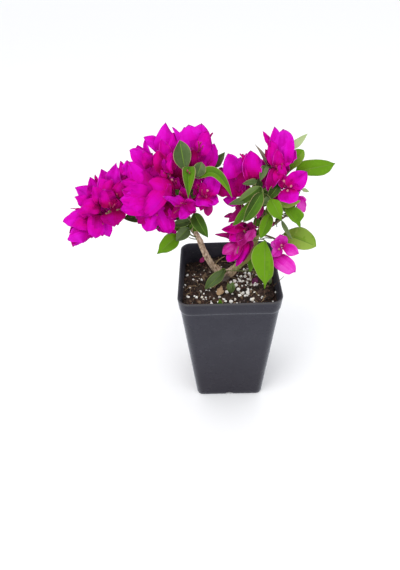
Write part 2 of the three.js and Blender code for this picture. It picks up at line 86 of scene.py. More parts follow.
NAMED_BRACTS = {  # by mass, from the middle of its CAD box: name, tone (its own colour, darker where it lies deep in the crown: painted shade), foot, tip, half width, facing, bow, cup, form (roundness and width of its left and right halves)
    "far_left_tip": [
        ('fl1', 1, (9.1, -5.6, 14.7), (-20, -3.6, 9.1), 9.0, (-0.17, -0.78, 0.6), 0.1, -0.2, (-0.2, -0.1, 1, 1)),
        ('fl2', 4.6, (1.4, 2.4, 13.4), (-13.6, 6.4, 17.7), 3.8, (0.28, 0.01, 0.96), 0.02, 0.16, (-0.5, -0.5, 0.7, 0.7)),
        ('fl10', 0.4, (5.1, -13.6, 6.2), (-15.5, -15.6, -3.1), 7.8, (-0.22, -0.73, 0.65), 0.28, -0.28, (0.3, 0.75, 1.25, 1.1)),
        ('fl11', 1.2, (7, -7.6, -1.3), (-14.6, -11.6, -13.5), 2.4, (0.22, -0.97, -0.07), 0.04, 0.16, (-0.6, -0.6, 1, 1)),
        ('fl11b', 3.4, (7.5, -1.6, -2.4), (-8.4, -5.6, -10.8), 4.4, (-0.31, -0.48, 0.82), 0.1, -0.16, (-0.2, -0.15, 1, 1)),
        ('fl12', 2, (16.4, -11.6, 21.3), (11.7, -19.6, 0.4), 8.4, (0.23, -0.93, 0.3), 0.12, -0.2, (0.55, 0.55, 1, 1)),
        ('fl12b', 3, (10.5, -7.6, 19.1), (1.5, -13.6, -1), 7.5, (0.46, -0.89, 0.06), 0.056, 0.24, (0.05, 0.05, 1, 1)),
        ('fl13b', 3, (17.5, -7.6, 16.7), (15.5, -9.6, -4.3), 5.7, (0.75, -0.66, -0.01), 0.1, -0.16, (0.15, 0.15, 1, 1)),
        ('fl21', 3, (10.3, -12.6, 13.6), (-9, -13.6, 10.6), 7.5, (-0.07, -0.72, 0.69), 0.16, -0.24, (-0.2, -0.15, 1, 1)),
    ],
    "far_left_top": [
        ('fl3', 2, (-11.4, -6.7, -12.1), (-30.9, -4.7, -3), 7.4, (0.05, -0.95, 0.32), 0.12, -0.2, (-0.2, -0.3, 1, 1)),
        ('fl4', 0.6, (-9.9, -0.7, -8.2), (-31, 3.3, 2.4), 8.9, (0.08, -0.87, 0.48), 0.04, 0.16, (-0.6, -0.5, 1, 1)),
        ('fl5', 2, (-12.4, 1.3, -9.2), (-16, 7.3, 10.4), 7.9, (0.48, -0.81, 0.34), 0.12, -0.2, (-0.5, -0.4, 1, 1)),
        ('fl6', 3.8, (-6.3, 5.3, -8.5), (-12, 11.3, 10.8), 6.1, (-0.3, -0.93, 0.2), 0.04, 0.2, (-0.9, -0.8, 0.9, 0.9)),
        ('fl7', 1.2, (2.2, -0.7, 0.7), (-3.7, 5.3, 18.7), 8.7, (0.56, -0.72, 0.42), 0.08, -0.16, (-0.6, -0.3, 1, 1)),
        ('fl7b', 3, (5.6, 3.3, 2.5), (1.3, 9.3, 14.7), 7.4, (-0.04, -0.9, 0.43), 0.1, -0.24, (-0.3, -0.3, 1, 1)),
        ('fl8', 0.5, (6, -2.7, 4.6), (11.3, 5.3, 24.3), 7.7, (-0.01, -0.93, 0.38), 0.048, 0.2, (-1, -1, 1, 0.9)),
        ('fl15', 3, (4.6, -21.7, -6), (2, -18.7, 11.2), 8.4, (0.16, -0.97, 0.19), -0.112, 0.45, (0.25, 0.25, 1, 1)),
        ('fl16', 5.2, (6.3, -20.7, -5.7), (15, -16.7, -6.3), 7.2, (0.41, -0.91, -0.02), -0.112, 0.4, (-0.2, -0.15, 1, 1)),
        ('fl17', 3.5, (-4.6, -16.7, -6.5), (-21.1, -18.7, -4.7), 7.7, (0.16, -0.81, 0.57), 0.16, -0.24, (-0.05, -0.05, 1, 1)),
        ('fl18', 3, (-2.8, -14.7, -4.7), (-9.5, -10.7, 10.4), 7.2, (0.45, -0.79, 0.41), 0.056, 0.24, (-0.2, -0.15, 1, 1)),
        ('fl19', 4.3, (-0.1, -12.7, -2.9), (8.1, -8.7, 15.4), 8.1, (-0.02, -0.98, 0.22), 0.14, -0.24, (-0.2, -0.15, 1, 1)),
        ('fl20', 2.7, (-9.8, -16.7, -9.4), (-28.4, -16.7, -13.9), 7.3, (-0.06, -0.96, 0.27), 0.064, 0.24, (-0.2, -0.15, 1, 1)),
        ('fl23', 2.5, (2, -10.7, 0), (-2.5, -4.7, 14.8), 6.3, (0.25, -0.87, 0.43), 0.1, -0.24, (-0.2, -0.15, 1, 1)),
        ('bk6', 3.0, (-11.8, -6.7, -22.9), (-8.1, -4.7, -12.3), 5.7, (0.14, -0.98, 0.14), 0.1, -0.24, (-0.2, -0.15, 1, 1)),
    ],
    "far_left_under": [
        ('fl13', 1, (-11.2, -6.4, 7.9), (-7.5, -10.4, -13), 7.1, (0.12, -0.97, 0.21), 0.04, 0.2, (-0.2, -0.2, 1, 1)),
        ('fl14', 3.8, (2.3, -14.4, 20.6), (2.8, -22.4, 6.1), 11.8, (0.23, -0.85, 0.48), -0.154, 0.5, (0.15, 0.25, 1, 1)),
    ],
    "left_outer": [
        ('fl9', 3, (-8.8, 6.4, 6.5), (-14.2, 12.4, 26.2), 6.8, (0.6, -0.71, 0.38), 0.1, -0.24, (-0.15, -0.15, 1, 1)),
        ('fl9b', 1.5, (-4.6, 2.4, 12.3), (-7.3, 8.4, 28.6), 7.1, (-0.15, -0.94, 0.32), 0.12, -0.24, (-0.15, -0.15, 1, 1)),
        ('fl22', 4, (-17.5, -7.6, 2.2), (-12.2, -3.6, 15.6), 6.7, (0.29, -0.94, 0.17), 0.056, 0.24, (-0.2, -0.15, 1, 1)),
        ('ml11', 2.4, (16, -15.6, 4.3), (-12.1, -11.6, 10.1), 9.2, (-0.04, -0.9, 0.42), 0.048, 0.224, (0, -0.25, 1, 1)),
        ('ml11b', 1.9, (16.6, -17.6, -0.5), (-14.6, -15.6, 3.1), 10.2, (0.02, -0.8, 0.59), 0.12, -0.224, (0, -0.1, 1, 1)),
        ('ml11c', 2.0, (14.9, -19.1, -0.6), (-14.7, -17.6, -6.4), 8.4, (-0.13, -0.88, 0.46), 0.14, -0.24, (-0.2, -0.1, 1, 1)),
        ('ml11d', 3.6, (13.7, -18.6, -2.9), (-1.9, -20.6, -13.9), 8.0, (-0.12, -0.94, 0.33), 0.056, 0.24, (0.1, 0.1, 1, 1)),
        ('ml12', 1.8, (18.3, -11.6, -4), (-4.2, 0.4, 30.3), 13.7, (0.23, -0.86, 0.45), 0.1, -0.16, (0.35, 0.25, 1, 1.1)),
        ('ml12c', 2.0, (10.9, -9.6, 10.1), (-12.4, -7.6, 16.2), 6.6, (0.12, -0.72, 0.68), 0.048, 0.2, (-0.3, -0.1, 1, 1)),
        ('ml23', 4, (10.8, -7.6, 11), (13.5, -1.6, 23.1), 7.0, (0.14, -0.9, 0.41), 0.12, -0.24, (-0.2, -0.15, 1, 1)),
        ('ml24', 3, (3.8, -3.6, 15), (-1.4, 2.4, 27.4), 7.0, (0.15, -0.86, 0.48), 0.12, -0.24, (-0.2, -0.15, 1, 1)),
        ('bk7', 4.0, (-17, -5.6, -9.2), (-12.8, -1.6, 2.8), 5.5, (0.14, -0.95, 0.27), 0.04, 0.24, (-0.2, -0.15, 1, 1)),
        ('bk8', 4.0, (-11.6, -1.6, 4.7), (-10.2, 2.4, 16.4), 5.4, (0.18, -0.94, 0.3), 0.1, -0.24, (-0.2, -0.15, 1, 1)),
    ],
    "left_crest": [
        ('ml1', 1, (-8, -4.1, -11), (-24.9, 1.9, 1.6), 7.8, (0.1, -0.84, 0.54), 0.12, -0.2, (-0.15, -0.05, 1, 1)),
        ('ml1b', 2, (-9.2, 1.9, -15.6), (-18.4, 7.9, 3.3), 7.5, (0.01, -0.95, 0.3), 0.12, -0.2, (0.25, 0.1, 1, 0.8)),
        ('ml1c', 3, (-6.2, -6.1, -11.9), (-12.7, -2.1, 1.1), 6.9, (0.39, -0.81, 0.44), 0.056, 0.28, (-0.2, -0.15, 1, 1)),
        ('ml2', 1.0, (-7.5, 1.9, -9.1), (-11.2, 5.9, 8.7), 3.8, (-0.25, -0.95, 0.16), 0.048, 0.2, (-0.3, -0.3, 1, 1)),
        ('ml2b', 1, (6.6, -0.1, -2.4), (-11.9, 5.9, 10.8), 7.3, (0.13, -0.82, 0.56), 0.04, 0.2, (-0.3, 0.55, 0.62, 1)),
        ('ml3', 1, (6.7, -2.1, -3.3), (7.8, 9.9, 21), 10.7, (0.1, -0.89, 0.44), 0.12, -0.176, (-0.9, -0.8, 1, 1)),
        ('ml3b', 2, (8.8, -4.1, -0.7), (14.8, 3.9, 14), 7.2, (-0.13, -0.85, 0.51), 0.14, -0.24, (-0.25, -0.05, 1, 1)),
        ('ml3c', 3, (8.7, -8.1, -4.3), (3.9, -2.1, 11.7), 5.5, (0.27, -0.87, 0.41), 0.056, 0.24, (-0.2, -0.15, 1, 1)),
        ('ml14', 4.8, (4, -14.1, -12.2), (0.3, -8.1, 4.8), 7.2, (0.29, -0.88, 0.37), 0.056, 0.24, (-0.2, -0.15, 1, 1)),
        ('ml14b', 4.0, (8.4, -15.1, -11.9), (12.7, -8.1, 2.6), 6.8, (-0.07, -0.89, 0.45), 0.14, -0.24, (-0.2, -0.15, 1, 1)),
    ],
    "left_inner_crest": [
        ('ml5', 0, (-12.3, 1.6, 1.3), (-21.3, 5.6, 16.5), 4.1, (0.32, -0.85, 0.41), 0.1, -0.2, (-0.6, -0.4, 0.8, 0.85)),
        ('ml6a', 1, (-1.5, -6.4, -8.1), (-7.6, 3.6, 18.6), 10.2, (0.18, -0.91, 0.38), 0.12, -0.2, (2.3, 0.9, 1.22, 1)),
        ('ml6d', 1, (-5.7, -5.4, -6.6), (-11, 2.6, 17.2), 6.4, (0.19, -0.92, 0.35), 0.048, 0.2, (0.9, 0.9, 1, 1)),
        ('ml6b', 1, (0.7, -2.4, -16.5), (3.3, 9.6, 17.2), 13.1, (-0.05, -0.94, 0.34), 0.048, 0.24, (0.95, 0.35, 1.12, 0.84)),
        ('ml6c', 2, (0.4, -8.4, -3.8), (8.7, -0.4, 14.1), 8.0, (-0.26, -0.83, 0.49), 0.14, -0.24, (-0.05, 0.05, 1, 1)),
        ('ml7', 5, (5.7, 1.6, -1.2), (12.9, 3.6, 11.2), 3.1, (0.54, -0.82, -0.18), -0.14, -0.16, (-0.3, -0.3, 0.6, 0.6)),
        ('ml8', 1.6, (6.8, -4.4, -16.7), (13.9, 3.6, 1.7), 7.4, (-0.1, -0.9, 0.43), 0.048, 0.24, (0, -0.05, 1, 1)),
        ('ml8b', 4, (6, -0.4, -17.6), (16.9, 5.6, -5.1), 5.3, (-0.5, -0.53, 0.69), 0.048, 0.24, (0.05, 0.15, 1, 1)),
        ('ml9b', 5.2, (-4.2, -13.4, 3.8), (-4.8, -15.4, -9.3), 4.2, (0.11, -0.98, 0.14), 0.14, -0.28, (0.15, 0.15, 1, 1)),
        ('ml10', 3, (-8.6, -4.4, 3.7), (-11, -6.4, -7.8), 5.1, (0.18, -0.98, 0.13), 0.12, -0.24, (-0.2, -0.15, 1, 1)),
        ('ml14e', 5.2, (-4.6, -2.4, -17.2), (-4.8, 1.6, -2.5), 7.0, (0.04, -0.96, 0.26), 0.1, -0.24, (-0.2, -0.15, 1, 1)),
    ],
    "left_core": [
        ('ml12b', 3.4, (-12, -1.3, -12.4), (-23.1, 6.7, 10.7), 7.4, (0.01, -0.94, 0.33), 0.16, -0.24, (-0.2, -0.15, 1, 1)),
        ('ml11e', 2.1, (-4.4, -6.8, -1.9), (-28.2, -8.8, -26.6), 8.2, (-0.15, -0.96, 0.22), 0.08, -0.16, (0.3, -0.2, 1, 1)),
        ('ml13', 4.0, (2.3, -4.8, -3.3), (-18.3, -2.3, 3.8), 9.6, (0.06, -0.88, 0.48), 0.12, -0.224, (0.7, 0.7, 1, 1)),
        ('ml13b', 3.4, (-9.8, -5.3, -11.2), (1, -4.3, 2.2), 7.3, (-0.27, -0.92, 0.29), 0.088, 0.32, (0.35, 0.25, 1, 1)),
        ('ml14c', 2.4, (0.8, -1.3, 10.8), (-3.7, 0.7, 22.9), 3.9, (0.66, -0.66, 0.35), -0.168, 0.4, (0.5, 0.5, 1, 1)),
        ('ml14f', 3.4, (1.4, -0.3, 9.4), (2.8, 2.7, 22.2), 3.4, (-0.44, -0.87, 0.25), 0.24, -0.32, (-0.2, -0.15, 1, 1)),
        ('ml14g', 3.8, (-3.3, 0.7, 5.4), (-9.6, 2.7, 12), 3.8, (0.38, -0.72, 0.58), 0.088, 0.32, (-0.2, -0.15, 1, 1)),
        ('ml14d', 5.0, (4.3, 11.7, -0.4), (6.2, 15.7, 14.5), 6.6, (0.23, -0.95, 0.23), 0.04, 0.24, (-0.2, -0.15, 1, 1)),
        ('ml17a', 0, (14.6, -10.3, -16.2), (-5.7, -14.3, -4), 5.1, (0.22, -0.97, 0.05), -0.21, 0.3, (-0.25, 0.05, 1, 1)),
        ('ml22', 4.0, (2.6, 1.7, -5.8), (6.6, 5.7, 3.4), 4.4, (0.21, -0.93, 0.31), 0.056, 0.32, (-0.2, -0.15, 1, 1)),
        ('ml22b', 4.2, (10.9, -0.3, -13.8), (9.6, 3.7, -5.2), 4.0, (0.07, -0.9, 0.43), 0.14, -0.32, (-0.2, -0.15, 1, 1)),
        ('bk1', 4.6, (12.9, 11.7, -18.6), (11.4, 17.7, 3.1), 8.1, (0.07, -0.96, 0.27), 0.04, 0.24, (-0.2, -0.15, 1, 1)),
        ('bk4', 4.8, (3.5, 13.7, -9.2), (16.5, 15.7, -2.9), 6.3, (-0.05, -0.92, 0.4), 0.1, -0.24, (-0.2, -0.15, 1, 1)),
        ('bk10', 3.8, (-2.5, 1.7, -22.5), (-3.6, 3.7, -13.5), 5.4, (0.14, -0.96, 0.23), 0.1, -0.24, (-0.2, -0.15, 1, 1)),
        ('bk14', 2.8, (-9.6, 7.7, 0.3), (-5, 9.7, 12.2), 6.1, (0.01, -0.99, 0.16), 0.04, 0.24, (-0.2, -0.15, 1, 1)),
        ('bk15', 3.6, (-11.6, 6.7, -3), (-14.3, 8.7, 13), 6.5, (0.18, -0.97, 0.15), 0.1, -0.24, (-0.2, -0.15, 1, 1)),
        ('bk16', 4.0, (6.9, 6.7, -15.6), (1.8, 8.7, -0.7), 5.8, (0.19, -0.96, 0.19), 0.1, -0.24, (-0.2, -0.15, 1, 1)),
        ('bk17', 3.8, (-5.5, 6.7, -22.2), (2.1, 8.7, -6.5), 6.8, (-0.07, -0.98, 0.16), 0.04, 0.24, (-0.2, -0.15, 1, 1)),
    ],
    "left_low": [
        ('ml15', 1.8, (-2.6, -3.2, 25.3), (-12.9, -16.2, -2.4), 8.3, (-0.03, -0.9, 0.44), 0.1, -0.2, (1, 0.5, 1, 1, 1.9)),
        ('ml15b', 3.8, (-7.9, -10.2, 20.4), (-20.4, -14.2, 4.7), 5.8, (0.23, -0.97, 0.06), 0.048, 0.24, (0, 0, 1, 1)),
        ('ml16', 2.2, (-3.2, -3.2, 24.3), (8.4, -18.2, -4.4), 7.8, (0.25, -0.81, 0.53), 0.04, 0.2, (0.5, 0.3, 1.1, 1, 1.6)),
        ('ml16b', 2.6, (-2.9, -2.2, 23.7), (-0.8, -14.2, 0.7), 5.9, (-0.28, -0.86, 0.42), 0.12, -0.24, (0.5, 0.5, 1, 1, 1.5)),
        ('ml16c', 3.5, (1.6, -2.2, 15.4), (9.1, -13.2, -0.3), 4.6, (0.53, -0.56, 0.64), 0.12, -0.24, (-0.15, -0.15, 1, 1)),
        ('ml17e', 6.5, (11.5, -8.2, 19.5), (5.5, -12.2, 10.9), 6.7, (0.03, -0.91, 0.4), -0.07, 0.3, (-0.2, -0.15, 1, 1)),
        ('bk2', 4.8, (-0.1, -2.2, 8.1), (-0.7, 1.8, 30.4), 7.7, (0.14, -0.97, 0.18), 0.1, -0.24, (-0.2, -0.15, 1, 1)),
    ],
    "left_front": [
        ('ml17b', 1.2, (-5.3, -4.9, -2.9), (-14.7, -12.9, -11.4), 5.4, (0.01, -0.73, 0.68), -0.14, 0.5, (0.2, 0.5, 1, 1)),
        ('ml17c', 2.3, (-10.5, -3.9, -2.2), (0.8, -4.9, -1.1), 4.3, (-0.12, -0.86, 0.49), -0.112, 0.4, (-0.2, -0.15, 1, 1)),
        ('ml17d', 4.6, (-10.7, -0.9, -4), (-22.3, -6.9, -14.5), 5.3, (0.03, -0.88, 0.47), -0.084, 0.4, (-0.2, -0.15, 1, 1)),
        ('ml17f', 2.8, (-7.8, -5.9, -1.2), (-0.1, -10.9, -4.9), 4.6, (0.04, -0.56, 0.83), -0.112, 0.4, (-0.2, -0.15, 1, 1)),
        ('ml18a', 1, (8.7, -2.9, 3.2), (15.2, 1.1, 21), 8.0, (-0.15, -0.95, 0.27), -0.154, 0.45, (0.5, 0.95, 0.9, 1.15)),
        ('ml18b', 1, (9.6, -3.9, 3.7), (19.7, -6.9, 0.2), 6.0, (0.07, -0.65, 0.76), -0.14, 0.45, (0.05, 0.15, 1, 1)),
        ('ml18c', 1, (7.9, -4.9, 4.3), (6.1, -12.9, 0.4), 7.2, (0.15, -0.47, 0.87), -0.168, 0.5, (0.75, 0.75, 1.1, 1)),
        ('ml18d', 3, (7.1, -2.9, 4.2), (0.6, -4.9, 2.7), 4.3, (0.08, -0.75, 0.65), -0.14, 0.4, (-0.2, -0.15, 1, 1)),
        ('ml18e', 4, (7.9, -0.9, 4), (5.8, 1.1, 15.3), 4.7, (0.24, -0.95, 0.21), -0.112, 0.4, (-0.2, -0.15, 1, 1)),
        ('ml20', 4.6, (6, 1.1, -0.9), (-1.9, -0.9, -6.8), 4.5, (-0.08, -0.91, 0.41), 0.064, 0.24, (0.1, 0.1, 1, 1)),
        ('ml20b', 4.6, (6.8, 2.1, -3.4), (3.3, 1.1, -12.7), 2.8, (-0.12, -0.98, 0.15), 0.12, -0.24, (-0.2, -0.15, 1, 1)),
        ('ml19', 2, (10.7, 3.1, -4.1), (9.8, -0.9, -17.1), 4.1, (-0.09, -0.95, 0.3), 0.024, 0.16, (1, 1, 1, 1)),
        ('ml19b', 3, (8.5, 4.1, -4.6), (6, 2.1, -11.9), 2.3, (0.26, -0.95, 0.17), 0.06, -0.16, (0.5, 0.5, 1, 1)),
        ('ml19c', 5, (14.7, 5.1, -4.4), (17.2, 3.1, -8.4), 2.7, (0.02, -0.89, 0.46), 0.024, 0.16, (-0.2, -0.15, 1, 1)),
        ('ml21', 5.0, (17.6, 9.1, 3.1), (30.9, 11.1, -4.4), 3.7, (0.16, -0.99, 0.02), 0.1, -0.16, (-0.2, -0.15, 1, 1)),
        ('ml22c', 4.2, (2.7, 9.1, 3.7), (2, 13.1, 10.3), 3.9, (0.02, -0.85, 0.52), 0.14, -0.32, (-0.2, -0.15, 1, 1)),
        ('bk3', 4.2, (2.9, 13.1, -9.5), (2.1, 15.1, 12.1), 5.8, (0.05, -0.99, 0.09), 0.04, 0.24, (-0.2, -0.15, 1, 1)),
        ('bk5', 4.4, (-6.3, 17.1, -10.4), (3.4, 19.1, 2.3), 5.4, (-0.14, -0.96, 0.26), 0.04, 0.24, (-0.2, -0.15, 1, 1)),
        ('bk11', 3.8, (-6.1, 10.1, -10.5), (-10.9, 12.1, 0.7), 4.5, (0.17, -0.95, 0.24), 0.1, -0.24, (-0.2, -0.15, 1, 1)),
    ],
    "middle_bracts": [
        ('ml21b', 5.6, (-17, -14.9, -6.9), (-7.2, -12.9, -15.3), 3.7, (0.52, -0.73, 0.44), 0.04, 0.16, (-0.2, -0.15, 1, 1)),
        ('bk9', 4.8, (9.1, -2.9, -24.4), (8.8, -0.9, -11.3), 5.5, (-0.08, -0.99, 0.15), 0.04, 0.24, (-0.2, -0.15, 1, 1)),
        ('bk12', 4.1, (3.6, -5.9, 3), (2.1, -7.9, -17.3), 5.8, (-0.1, -0.99, 0.1), 0.04, 0.24, (-0.2, -0.15, 1, 1)),
        ('mb1a', 0.6, (-1.8, -8.9, -2.9), (-7.8, -0.9, 16.6), 8.8, (0.13, -0.9, 0.41), 0.048, 0.2, (-0.3, 0.3, 1.05, 1)),
        ('mb1b', 1, (-0.7, -6.9, -3.9), (3.9, 1.1, 11.9), 7.1, (-0.22, -0.84, 0.49), 0.12, -0.2, (0.05, 0.15, 1, 1)),
        ('mb1c', 3.2, (0.6, -4.9, -24), (-5.9, -2.9, 2), 7.3, (0.13, -0.99, 0.11), 0.04, 0.24, (-0.2, -0.15, 1, 1)),
        ('mb1d', 3.7, (0.7, -2.9, -25.2), (5.9, -0.9, -1.4), 6.9, (-0.32, -0.94, 0.15), 0.1, -0.24, (-0.2, -0.15, 1, 1)),
        ('mb1e', 3.6, (-1.1, -0.9, -21), (-15.5, 3.1, 0.5), 6.9, (0.32, -0.87, 0.38), 0.08, -0.16, (-0.2, -0.15, 1, 1)),
        ('mb2', 2.5, (12.9, -12.9, -4.4), (11.6, -2.9, 19.2), 8.7, (-0.09, -0.92, 0.38), 0.08, 0.28, (0.35, 0.75, 0.95, 1.1)),
        ('mb2b', 3.1, (14.8, -10.9, -1.6), (17.7, -4.9, 9.4), 3.5, (-0.56, -0.65, 0.51), 0.064, 0.24, (0.25, 0.45, 1, 1)),
        ('mb2c', 5, (9.8, -4.9, 4.2), (2.4, -0.9, 16), 2.6, (0.42, -0.75, 0.52), 0.1, -0.16, (-0.2, -0.15, 1, 1)),
        ('mb2d', 4, (10.9, -6.9, -6.3), (8, -0.9, 16.2), 5.3, (0.44, -0.85, 0.28), 0.04, 0.24, (-0.2, -0.15, 1, 1)),
    ],
    "middle_small": [
        ('ms1', 0.8, (5.4, -4, 12), (-8.4, -4, 17.5), 4.6, (0.17, -0.89, 0.42), 0.14, -0.24, (0.3, 0.9, 0.9, 1.1)),
        ('ms2', 2.2, (12.4, 0, 4.1), (-3.8, -4, -7.4), 4.7, (-0.23, -0.78, 0.59), 0.04, 0.24, (-0.2, -0.15, 1, 1)),
        ('ms3', 2.2, (5, 0, -2.1), (-7.7, -2, -2.6), 2.9, (0.07, -0.61, 0.79), 0.1, -0.16, (-0.2, -0.15, 1, 1)),
        ('ms4', 2.4, (8.8, 4, 8.4), (5.9, 0, -1), 4.5, (-0.1, -0.9, 0.41), 0.032, 0.16, (-0.2, -0.15, 1, 1)),
        ('lb1b', 2.4, (13.3, -6, -10.9), (-2, -6, -8.1), 4.4, (0.07, -0.93, 0.37), 0.048, 0.24, (-0.2, -0.15, 1, 1)),
    ],
    "right_crest": [
        ('bk13', 3.4, (5.1, -7.1, -10.3), (8.2, -5.1, -3), 3.9, (-0.21, -0.92, 0.34), 0.1, -0.24, (-0.2, -0.15, 1, 1)),
        ('rt1', 1, (-2.2, -6.1, -3), (-3.8, 7.9, 24.1), 6.8, (0.06, -0.89, 0.46), 0.12, -0.224, (-0.25, 0.05, 1, 1)),
        ('rt1b', 0, (3.8, -12.1, -3.2), (2.7, 1.9, 23.8), 9.1, (-0.24, -0.87, 0.44), 0.064, 0.256, (1.3, 1.2, 1, 1)),
        ('rt1c', 2, (6.9, -8.1, -2.5), (12.7, -2.1, 8), 6.4, (-0.54, -0.56, 0.62), 0.18, -0.28, (0.75, 0.85, 1, 1)),
        ('rt1d', 3, (-2.8, -10.1, -3), (-8.3, -2.1, 16.7), 6.4, (0.12, -0.91, 0.4), 0.14, -0.24, (-0.25, -0.05, 1, 1)),
        ('rt1e', 2.8, (-6.1, 1.9, 11.1), (-13.7, 5.9, 21.7), 3.8, (0.47, -0.66, 0.59), 0.032, 0.16, (-0.2, -0.15, 1, 1)),
        ('rt1f', 5, (-5.9, -0.1, -1.9), (-10.3, 3.9, 13.5), 3.1, (0.55, -0.76, 0.35), 0.08, -0.16, (-0.2, -0.15, 1, 1)),
        ('rt1g', 5, (-6.7, -2.1, -6.5), (-11, 1.9, 7.3), 3.1, (0.48, -0.79, 0.38), 0.032, 0.16, (-0.2, -0.15, 1, 1)),
        ('rt1h', 3.4, (-0.4, -12.1, -4), (-3.1, -10.1, 12), 5.1, (0.1, -0.99, 0.14), 0.1, -0.24, (-0.2, -0.15, 1, 1)),
        ('rt1i', 1, (7.2, -11.1, -2), (8.7, 0.9, 19.1), 5.9, (-0.5, -0.74, 0.45), 0.18, -0.24, (0.75, 0.85, 1, 1)),
        ('rt2', 4.1, (-0.9, -10.1, -4.9), (-9.4, -16.1, -23.2), 5.7, (-0.26, -0.88, 0.41), 0.048, 0.24, (-0.05, -0.05, 1, 1)),
        ('rt2b', 5.0, (-3.5, -6.1, -8.5), (-11.9, -10.1, -21.4), 4.8, (-0.38, -0.78, 0.49), 0.12, -0.24, (0.05, 0.05, 1, 1)),
        ('rt2c', 4.4, (-0.3, -12.1, -5.8), (-2.6, -16.1, -15.8), 4.7, (-0.08, -0.92, 0.39), 0.12, -0.24, (-0.2, -0.15, 1, 1)),
        ('rt3', 3.4, (3.6, -14.1, -14.3), (0.2, -10.1, 2.3), 4.3, (-0.12, -0.97, 0.21), 0.14, -0.24, (-0.2, -0.15, 1, 1)),
    ],
    "right_flower": [
        ('rf1', 1.5, (-5.4, -8.9, 7.5), (11.3, -2.9, 19.1), 8.1, (-0.01, -0.88, 0.47), -0.14, 0.4, (0.6, 0.9, 1, 1.08)),
        ('rf2', 1.4, (-5.1, -10.9, 9.5), (-4.7, -20.9, -1.1), 8.5, (-0.19, -0.72, 0.67), -0.182, 0.5, (1.3, 1.3, 1, 1)),
        ('rf3', 4, (-6.3, -4.9, 5.5), (-11.3, -0.9, 19.5), 4.7, (-0.09, -0.97, 0.24), -0.14, 0.4, (-0.2, -0.15, 1, 1)),
        ('rf4', 2.6, (-3.9, -4.9, 7.3), (4.1, 3.1, 17), 6.1, (-0.19, -0.68, 0.71), -0.14, 0.35, (0.05, 0.15, 1, 1)),
        ('rf5', 2.2, (-2.9, -8.9, 7.4), (6.8, -8.9, 5.1), 5.2, (0.1, -0.9, 0.42), -0.154, 0.4, (-0.2, -0.15, 1, 1)),
        ('rs1', 0, (9.2, 5.1, -9.5), (14.7, 1.1, -23.5), 4.4, (-0.03, -0.96, 0.26), 0.048, 0.24, (-0.05, 0.05, 1, 1)),
        ('rs2', 1, (8.1, 7.1, -12.6), (16.4, 5.1, -12.8), 3.7, (-0.21, -0.92, 0.33), 0.12, -0.24, (0.25, 0.25, 1, 1)),
    ],
    "right_core": [
        ('rb1', 2.2, (10.5, -1.4, -3.9), (6.6, -5.4, -16.1), 3.3, (-0.17, -0.92, 0.36), 0.04, 0.16, (-0.2, -0.15, 1, 1)),
    ],
    "low_bracts": [
        ('lb1', 4.4, (4.8, -1.8, 12.1), (-18.5, -3.8, 14.9), 5.3, (0.14, -0.72, 0.68), 0.14, -0.24, (0.05, 0.05, 1, 1)),
        ('lb2', 2.0, (-4.5, -1.8, 3.3), (-24.7, -3.8, 9.5), 2.7, (0.3, -0.45, 0.84), 0.064, 0.16, (-0.2, -0.15, 1, 1)),
        ('lb3', 1.8, (7, 0.2, 8.4), (10.8, 4.2, 17.5), 5.7, (-0.14, -0.88, 0.45), -0.098, 0.3, (-0.2, -0.15, 1, 1)),
        ('lb3b', 2.8, (5.3, 2.2, 7.1), (2.5, 6.2, 16), 5.3, (0.14, -0.89, 0.44), -0.084, 0.3, (-0.2, -0.15, 1, 1)),
        ('lb3c', 3, (6.6, -3.8, 11.1), (15, -3.8, 13), 4.7, (-0.16, -0.72, 0.68), -0.084, 0.3, (-0.2, -0.15, 1, 1)),
        ('lb4', 0.6, (11.4, -9.8, 18.2), (4.4, -14.8, 8), 5.0, (0.22, -0.93, 0.3), -0.154, 0.35, (1.2, 1, 1, 1)),
        ('lb5', 4, (3.4, -5.8, 17), (-11.8, -11.8, 7.1), 7.5, (-0.05, -0.82, 0.57), -0.112, 0.35, (-0.05, -0.05, 1, 1)),
        ('lb5b', 2, (2.4, -7.8, 13.9), (-1.4, -13.8, 1.2), 6.6, (0.06, -0.91, 0.41), -0.098, 0.35, (-0.2, -0.15, 1, 1)),
        ('lb6', 2.8, (-1.2, -9.8, 2.9), (-12.9, -17.8, -13.2), 6.7, (-0.23, -0.79, 0.56), 0.056, 0.24, (0.35, 0.25, 1, 1)),
        ('lb6b', 0.9, (-1, -7.8, 1.5), (-18, -13.8, -6.4), 6.7, (-0.18, -0.57, 0.81), 0.14, -0.24, (0.05, 0.05, 1, 1)),
        ('lb6c', 1.0, (-0.4, -11.8, 3.2), (-7.2, -17.8, -9.8), 3.8, (0.03, -0.91, 0.41), 0.14, -0.24, (-0.2, -0.15, 1, 1)),
        ('lb7', 2, (6.4, -9.8, 3.8), (-5.5, -17.8, -19.7), 4.2, (-0.03, -0.94, 0.34), 0.1, -0.24, (-0.3, -0.3, 1, 1)),
        ('lb7b', 2, (7.6, -7.8, 1.2), (1.9, -13.8, -16.9), 4.4, (-0.33, -0.86, 0.39), 0.04, 0.24, (-0.2, -0.15, 1, 1)),
        ('lb8', 1.6, (6.2, -1.8, 0.5), (11, -5.8, -8.7), 4.9, (0.01, -0.92, 0.4), 0.048, 0.24, (-0.2, -0.15, 1, 1)),
        ('rb2', 3, (19.8, 2.2, 22.3), (17.3, 0.2, 12.6), 2.8, (-0.21, -0.95, 0.25), 0.1, -0.16, (-0.2, -0.15, 1, 1)),
    ],
    "right_low": [
        ('rl1', 1, (-6.8, -7.2, 20), (-9.1, -3.2, 31.7), 6.7, (-0.11, -0.95, 0.3), -0.182, 0.4, (1, 0.9, 1, 1)),
        ('rl2', 1, (-7.1, -8.2, 21.9), (9.3, -11.2, 14.6), 6.2, (0.06, -0.87, 0.49), -0.154, 0.4, (0.9, 0.9, 1, 1)),
